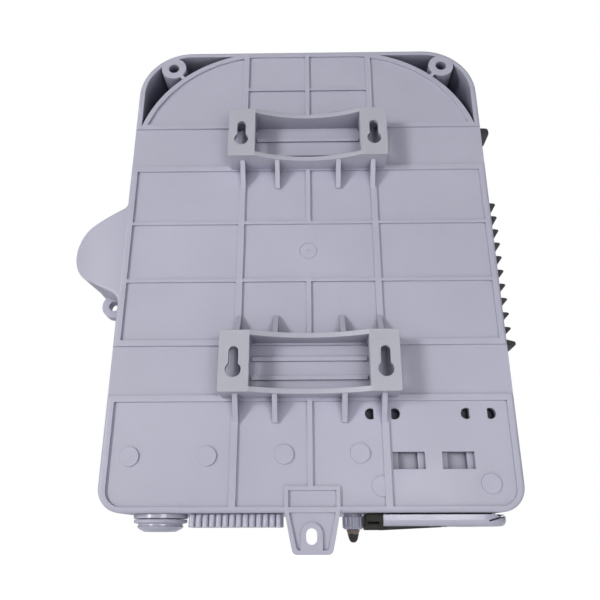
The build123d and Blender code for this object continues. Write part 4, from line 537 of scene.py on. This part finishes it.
def make_gland_seal():
    """Sealing sleeve of the big gland with rounded grooves along its bore."""
    bm = bmesh.new()
    low, high, outer_radius, bore = BODY_BOTTOM - 7.15 * MM, BODY_BOTTOM + 1.95 * MM, 8.35 * MM, 7.5 * MM
    section = [(outer_radius, low), (outer_radius, high), (bore + 0.3 * MM, high)]
    waves = 24
    for step in range(waves + 1):
        height = high - 0.3 * MM - (high - low - 0.6 * MM) * step / waves
        section.append((bore + 0.2 * MM * (1 - math.cos(2 * math.pi * 4 * step / waves)), height))
    section.append((bore + 0.3 * MM, low))
    rings = [[spot(GLAND_X + radius * cos, PORT_Y + radius * sin, height) for cos, sin in circle(1.0)]
             for radius, height in section]
    loft(bm, rings, closed=True)
    soft_piece("gland_seal", bm, "black_rubber")


def make_earth_plug():
    """Tapered plug of the small gland, waisted below its shoulder, with a blunt tip."""
    bm = bmesh.new()
    profile = ((1.9, 2.0), (2.45, 1.6), (2.45, -8.4), (3.5, -8.5), (3.85, -8.75), (3.7, -9.4), (3.35, -10.0),
               (3.25, -10.4), (3.2, -10.8), (2.95, -11.8), (2.7, -12.8), (2.4, -13.7), (2.0, -14.5),
               (1.4, -15.1), (0.6, -15.42))
    turned(bm, [(radius * MM, BODY_BOTTOM + height * MM) for radius, height in profile],
           EARTH_GLAND_X, PORT_Y)
    soft_piece("earth_gland_plug", bm, "brown_rubber")


def make_boots():
    """Ribbed strain-relief boots below the splitter, one for each fibre."""
    bm = bmesh.new()
    top = 66.0 * MM - 0.05 * MM
    boot_y = -30.0 * MM
    for index in range(17):
        profile = [(1.2 * MM, top), (1.7 * MM, top - 0.2 * MM)]
        for rib in range(6):
            start = top - (0.9 + 1.45 * rib) * MM
            wide = (1.62 - 0.09 * rib) * MM
            profile += [(wide, start), (wide, start - 0.75 * MM),
                        (wide - 0.3 * MM, start - 0.9 * MM), (wide - 0.3 * MM, start - 1.25 * MM)]
        profile += [(0.95 * MM, top - 9.8 * MM), (0.6 * MM, top - 9.95 * MM)]
        turned(bm, profile, (index - 8) * 4.6 * MM, boot_y, count=20)
    soft_piece("splitter_boots", bm, "boot")


def make_gasket():
    """Cover seal: a domed ring with two lips, along the shell's ledge."""
    side, top, arc_x, arc_height, arc_radius = 112.5 * MM, 152.1 * MM, 30.0 * MM, 69.0 * MM, 83.1 * MM
    corner, bottom = 8.0 * MM, -152.0 * MM
    path = []

    def sweep(cx, cz, radius, start, end, count):
        for step in range(count + 1):
            angle = math.radians(start + (end - start) * step / count)
            path.append((cx + radius * math.cos(angle), cz + radius * math.sin(angle)))

    side_angle = math.degrees(math.acos((side - arc_x) / arc_radius))
    sweep(side - corner, bottom + corner, corner, -90, 0, 10)
    sweep(arc_x, arc_height, arc_radius, side_angle, 90, 40)
    sweep(-arc_x, arc_height, arc_radius, 90, 180 - side_angle, 40)
    sweep(-side + corner, bottom + corner, corner, 180, 270, 10)
    # across the strip and above the ledge, in mm: two lips with a dome between them
    half_section = ((-1.85, 0.0), (-1.85, 0.9), (-1.55, 1.35), (-1.2, 1.2), (-0.9, 1.05), (-0.55, 1.6))
    section = half_section + ((0.0, 1.95),) + tuple((-out, rise) for out, rise in reversed(half_section))
    rings = []
    for index, (x, z) in enumerate(path):
        before, after = path[index - 1], path[(index + 1) % len(path)]
        along = Vector((after[0] - before[0], after[1] - before[1])).normalized()
        rings.append([spot(x + along.y * out * MM, SEAM + 2.0 * MM - rise * MM, z - along.x * out * MM)
                      for out, rise in section])
    bm = bmesh.new()
    loft(bm, rings, closed=True)
    soft_piece("cover_gasket", bm, "gasket")


make_drop_strip()
make_express_seal()
make_gland_seal()
make_earth_plug()
make_boots()
make_gasket()


# ---------------------------------------------------------------- floor, light, camera
def make_stage():
    """Pale plain floor just below the box, brighter to the camera than to the box."""
    size = 6.0
    height = CAD_BOX[0].z - 12 * MM
    mesh = bpy.data.meshes.new("floor")
    corners = [(-size, -size, height), (size, -size, height), (size, size, height), (-size, size, height)]
    mesh.from_pydata(corners, [], [(0, 1, 2, 3)])
    floor = bpy.data.objects.new("floor", mesh)
    bpy.context.scene.collection.objects.link(floor)
    shader = Shader("floor_paint")
    tone = shader.mix(shader.noise(3.0), srgb(250, 250, 250), srgb(254, 254, 254))
    seen = shader.node("ShaderNodeLightPath", {}).outputs["Is Camera Ray"]
    glow = shader.span(seen, 0.0, 1.0, 0.25, 0.86)
    mesh.materials.append(shader.finish(
        Base_Color=tone, Roughness=0.8, Emission_Color=tone, Emission_Strength=glow))


def area_light(name, place, target, size, power, colour):
    """Soft rectangular lamp aimed at a point."""
    data = bpy.data.lights.new(name, "AREA")
    data.shape = "RECTANGLE"
    data.size, data.size_y = size
    data.energy = power
    data.color = colour
    lamp = bpy.data.objects.new(name, data)
    lamp.location = place
    lamp.rotation_mode = "QUATERNION"
    lamp.rotation_quaternion = (Vector(target) - Vector(place)).to_track_quat("-Z", "Y")
    bpy.context.scene.collection.objects.link(lamp)


def make_world():
    """Studio walls: white to the camera, and a dim gradient, darker from below, as light."""
    world = bpy.data.worlds.new("studio")
    bpy.context.scene.world = world
    world.use_nodes = True
    tree = world.node_tree
    tree.nodes.clear()
    coords = tree.nodes.new("ShaderNodeTexCoord")
    split = tree.nodes.new("ShaderNodeSeparateXYZ")
    tree.links.new(coords.outputs["Generated"], split.inputs["Vector"])
    ramp = tree.nodes.new("ShaderNodeMapRange")
    tree.links.new(split.outputs["Z"], ramp.inputs["Value"])
    for key, value in {"From Min": -0.6, "From Max": 0.9, "To Min": 0.13, "To Max": 0.20}.items():
        ramp.inputs[key].default_value = value
    lit = tree.nodes.new("ShaderNodeBackground")
    lit.inputs["Color"].default_value = (0.95, 0.97, 1.0, 1.0)
    tree.links.new(ramp.outputs["Result"], lit.inputs["Strength"])
    seen = tree.nodes.new("ShaderNodeBackground")
    seen.inputs["Color"].default_value = (1.0, 1.0, 1.0, 1.0)
    seen.inputs["Strength"].default_value = 1.0
    rays = tree.nodes.new("ShaderNodeLightPath")
    choice = tree.nodes.new("ShaderNodeMixShader")
    tree.links.new(rays.outputs["Is Camera Ray"], choice.inputs["Fac"])
    tree.links.new(lit.outputs["Background"], choice.inputs[1])
    tree.links.new(seen.outputs["Background"], choice.inputs[2])
    output = tree.nodes.new("ShaderNodeOutputWorld")
    tree.links.new(choice.outputs["Shader"], output.inputs["Surface"])


def make_light():
    """Soft key behind the box on the lobe's side, a low fill for the tab and one for the front."""
    area_light("key", place=(1.02, 1.15, 0.06), target=(0.0, -0.02, -0.06),
               size=(0.34, 0.34), power=11.2, colour=(1.0, 0.99, 0.98))
    area_light("low_fill", place=(-0.14, 0.50, -0.13), target=(0.0, -0.02, -0.20),
               size=(0.20, 0.08), power=0.62, colour=(0.98, 0.98, 1.0))
    area_light("front_fill", place=(-0.7, -1.3, 0.8), target=(0.0, -0.02, 0.0),
               size=(1.2, 1.2), power=7.5, colour=(0.97, 0.98, 1.0))


def make_camera():
    """Close camera behind the box, level with its lower end and looking up at the ribbed back."""
    back_face = SHELL_HIGH.y - BRACKET_TALL
    place = Vector((0.76 * MM, back_face + 361.7 * MM, -166.8 * MM))
    right = Vector((-0.9999, -0.01395, -0.00235)).normalized()
    forward = Vector((0.0122, -0.93462, 0.35545)).normalized()
    up = right.cross(forward).normalized()
    right = forward.cross(up)
    data = bpy.data.cameras.new("camera")
    data.lens = 37.73
    data.sensor_width = 36.0
    data.clip_start = 0.01
    camera = bpy.data.objects.new("camera", data)
    camera.matrix_world = Matrix((
        (right.x, up.x, -forward.x, place.x),
        (right.y, up.y, -forward.y, place.y),
        (right.z, up.z, -forward.z, place.z),
        (0, 0, 0, 1)))
    bpy.context.scene.collection.objects.link(camera)
    bpy.context.scene.camera = camera


make_stage()
make_world()
make_light()
make_camera()
bpy.context.scene.view_settings.view_transform = "Standard"
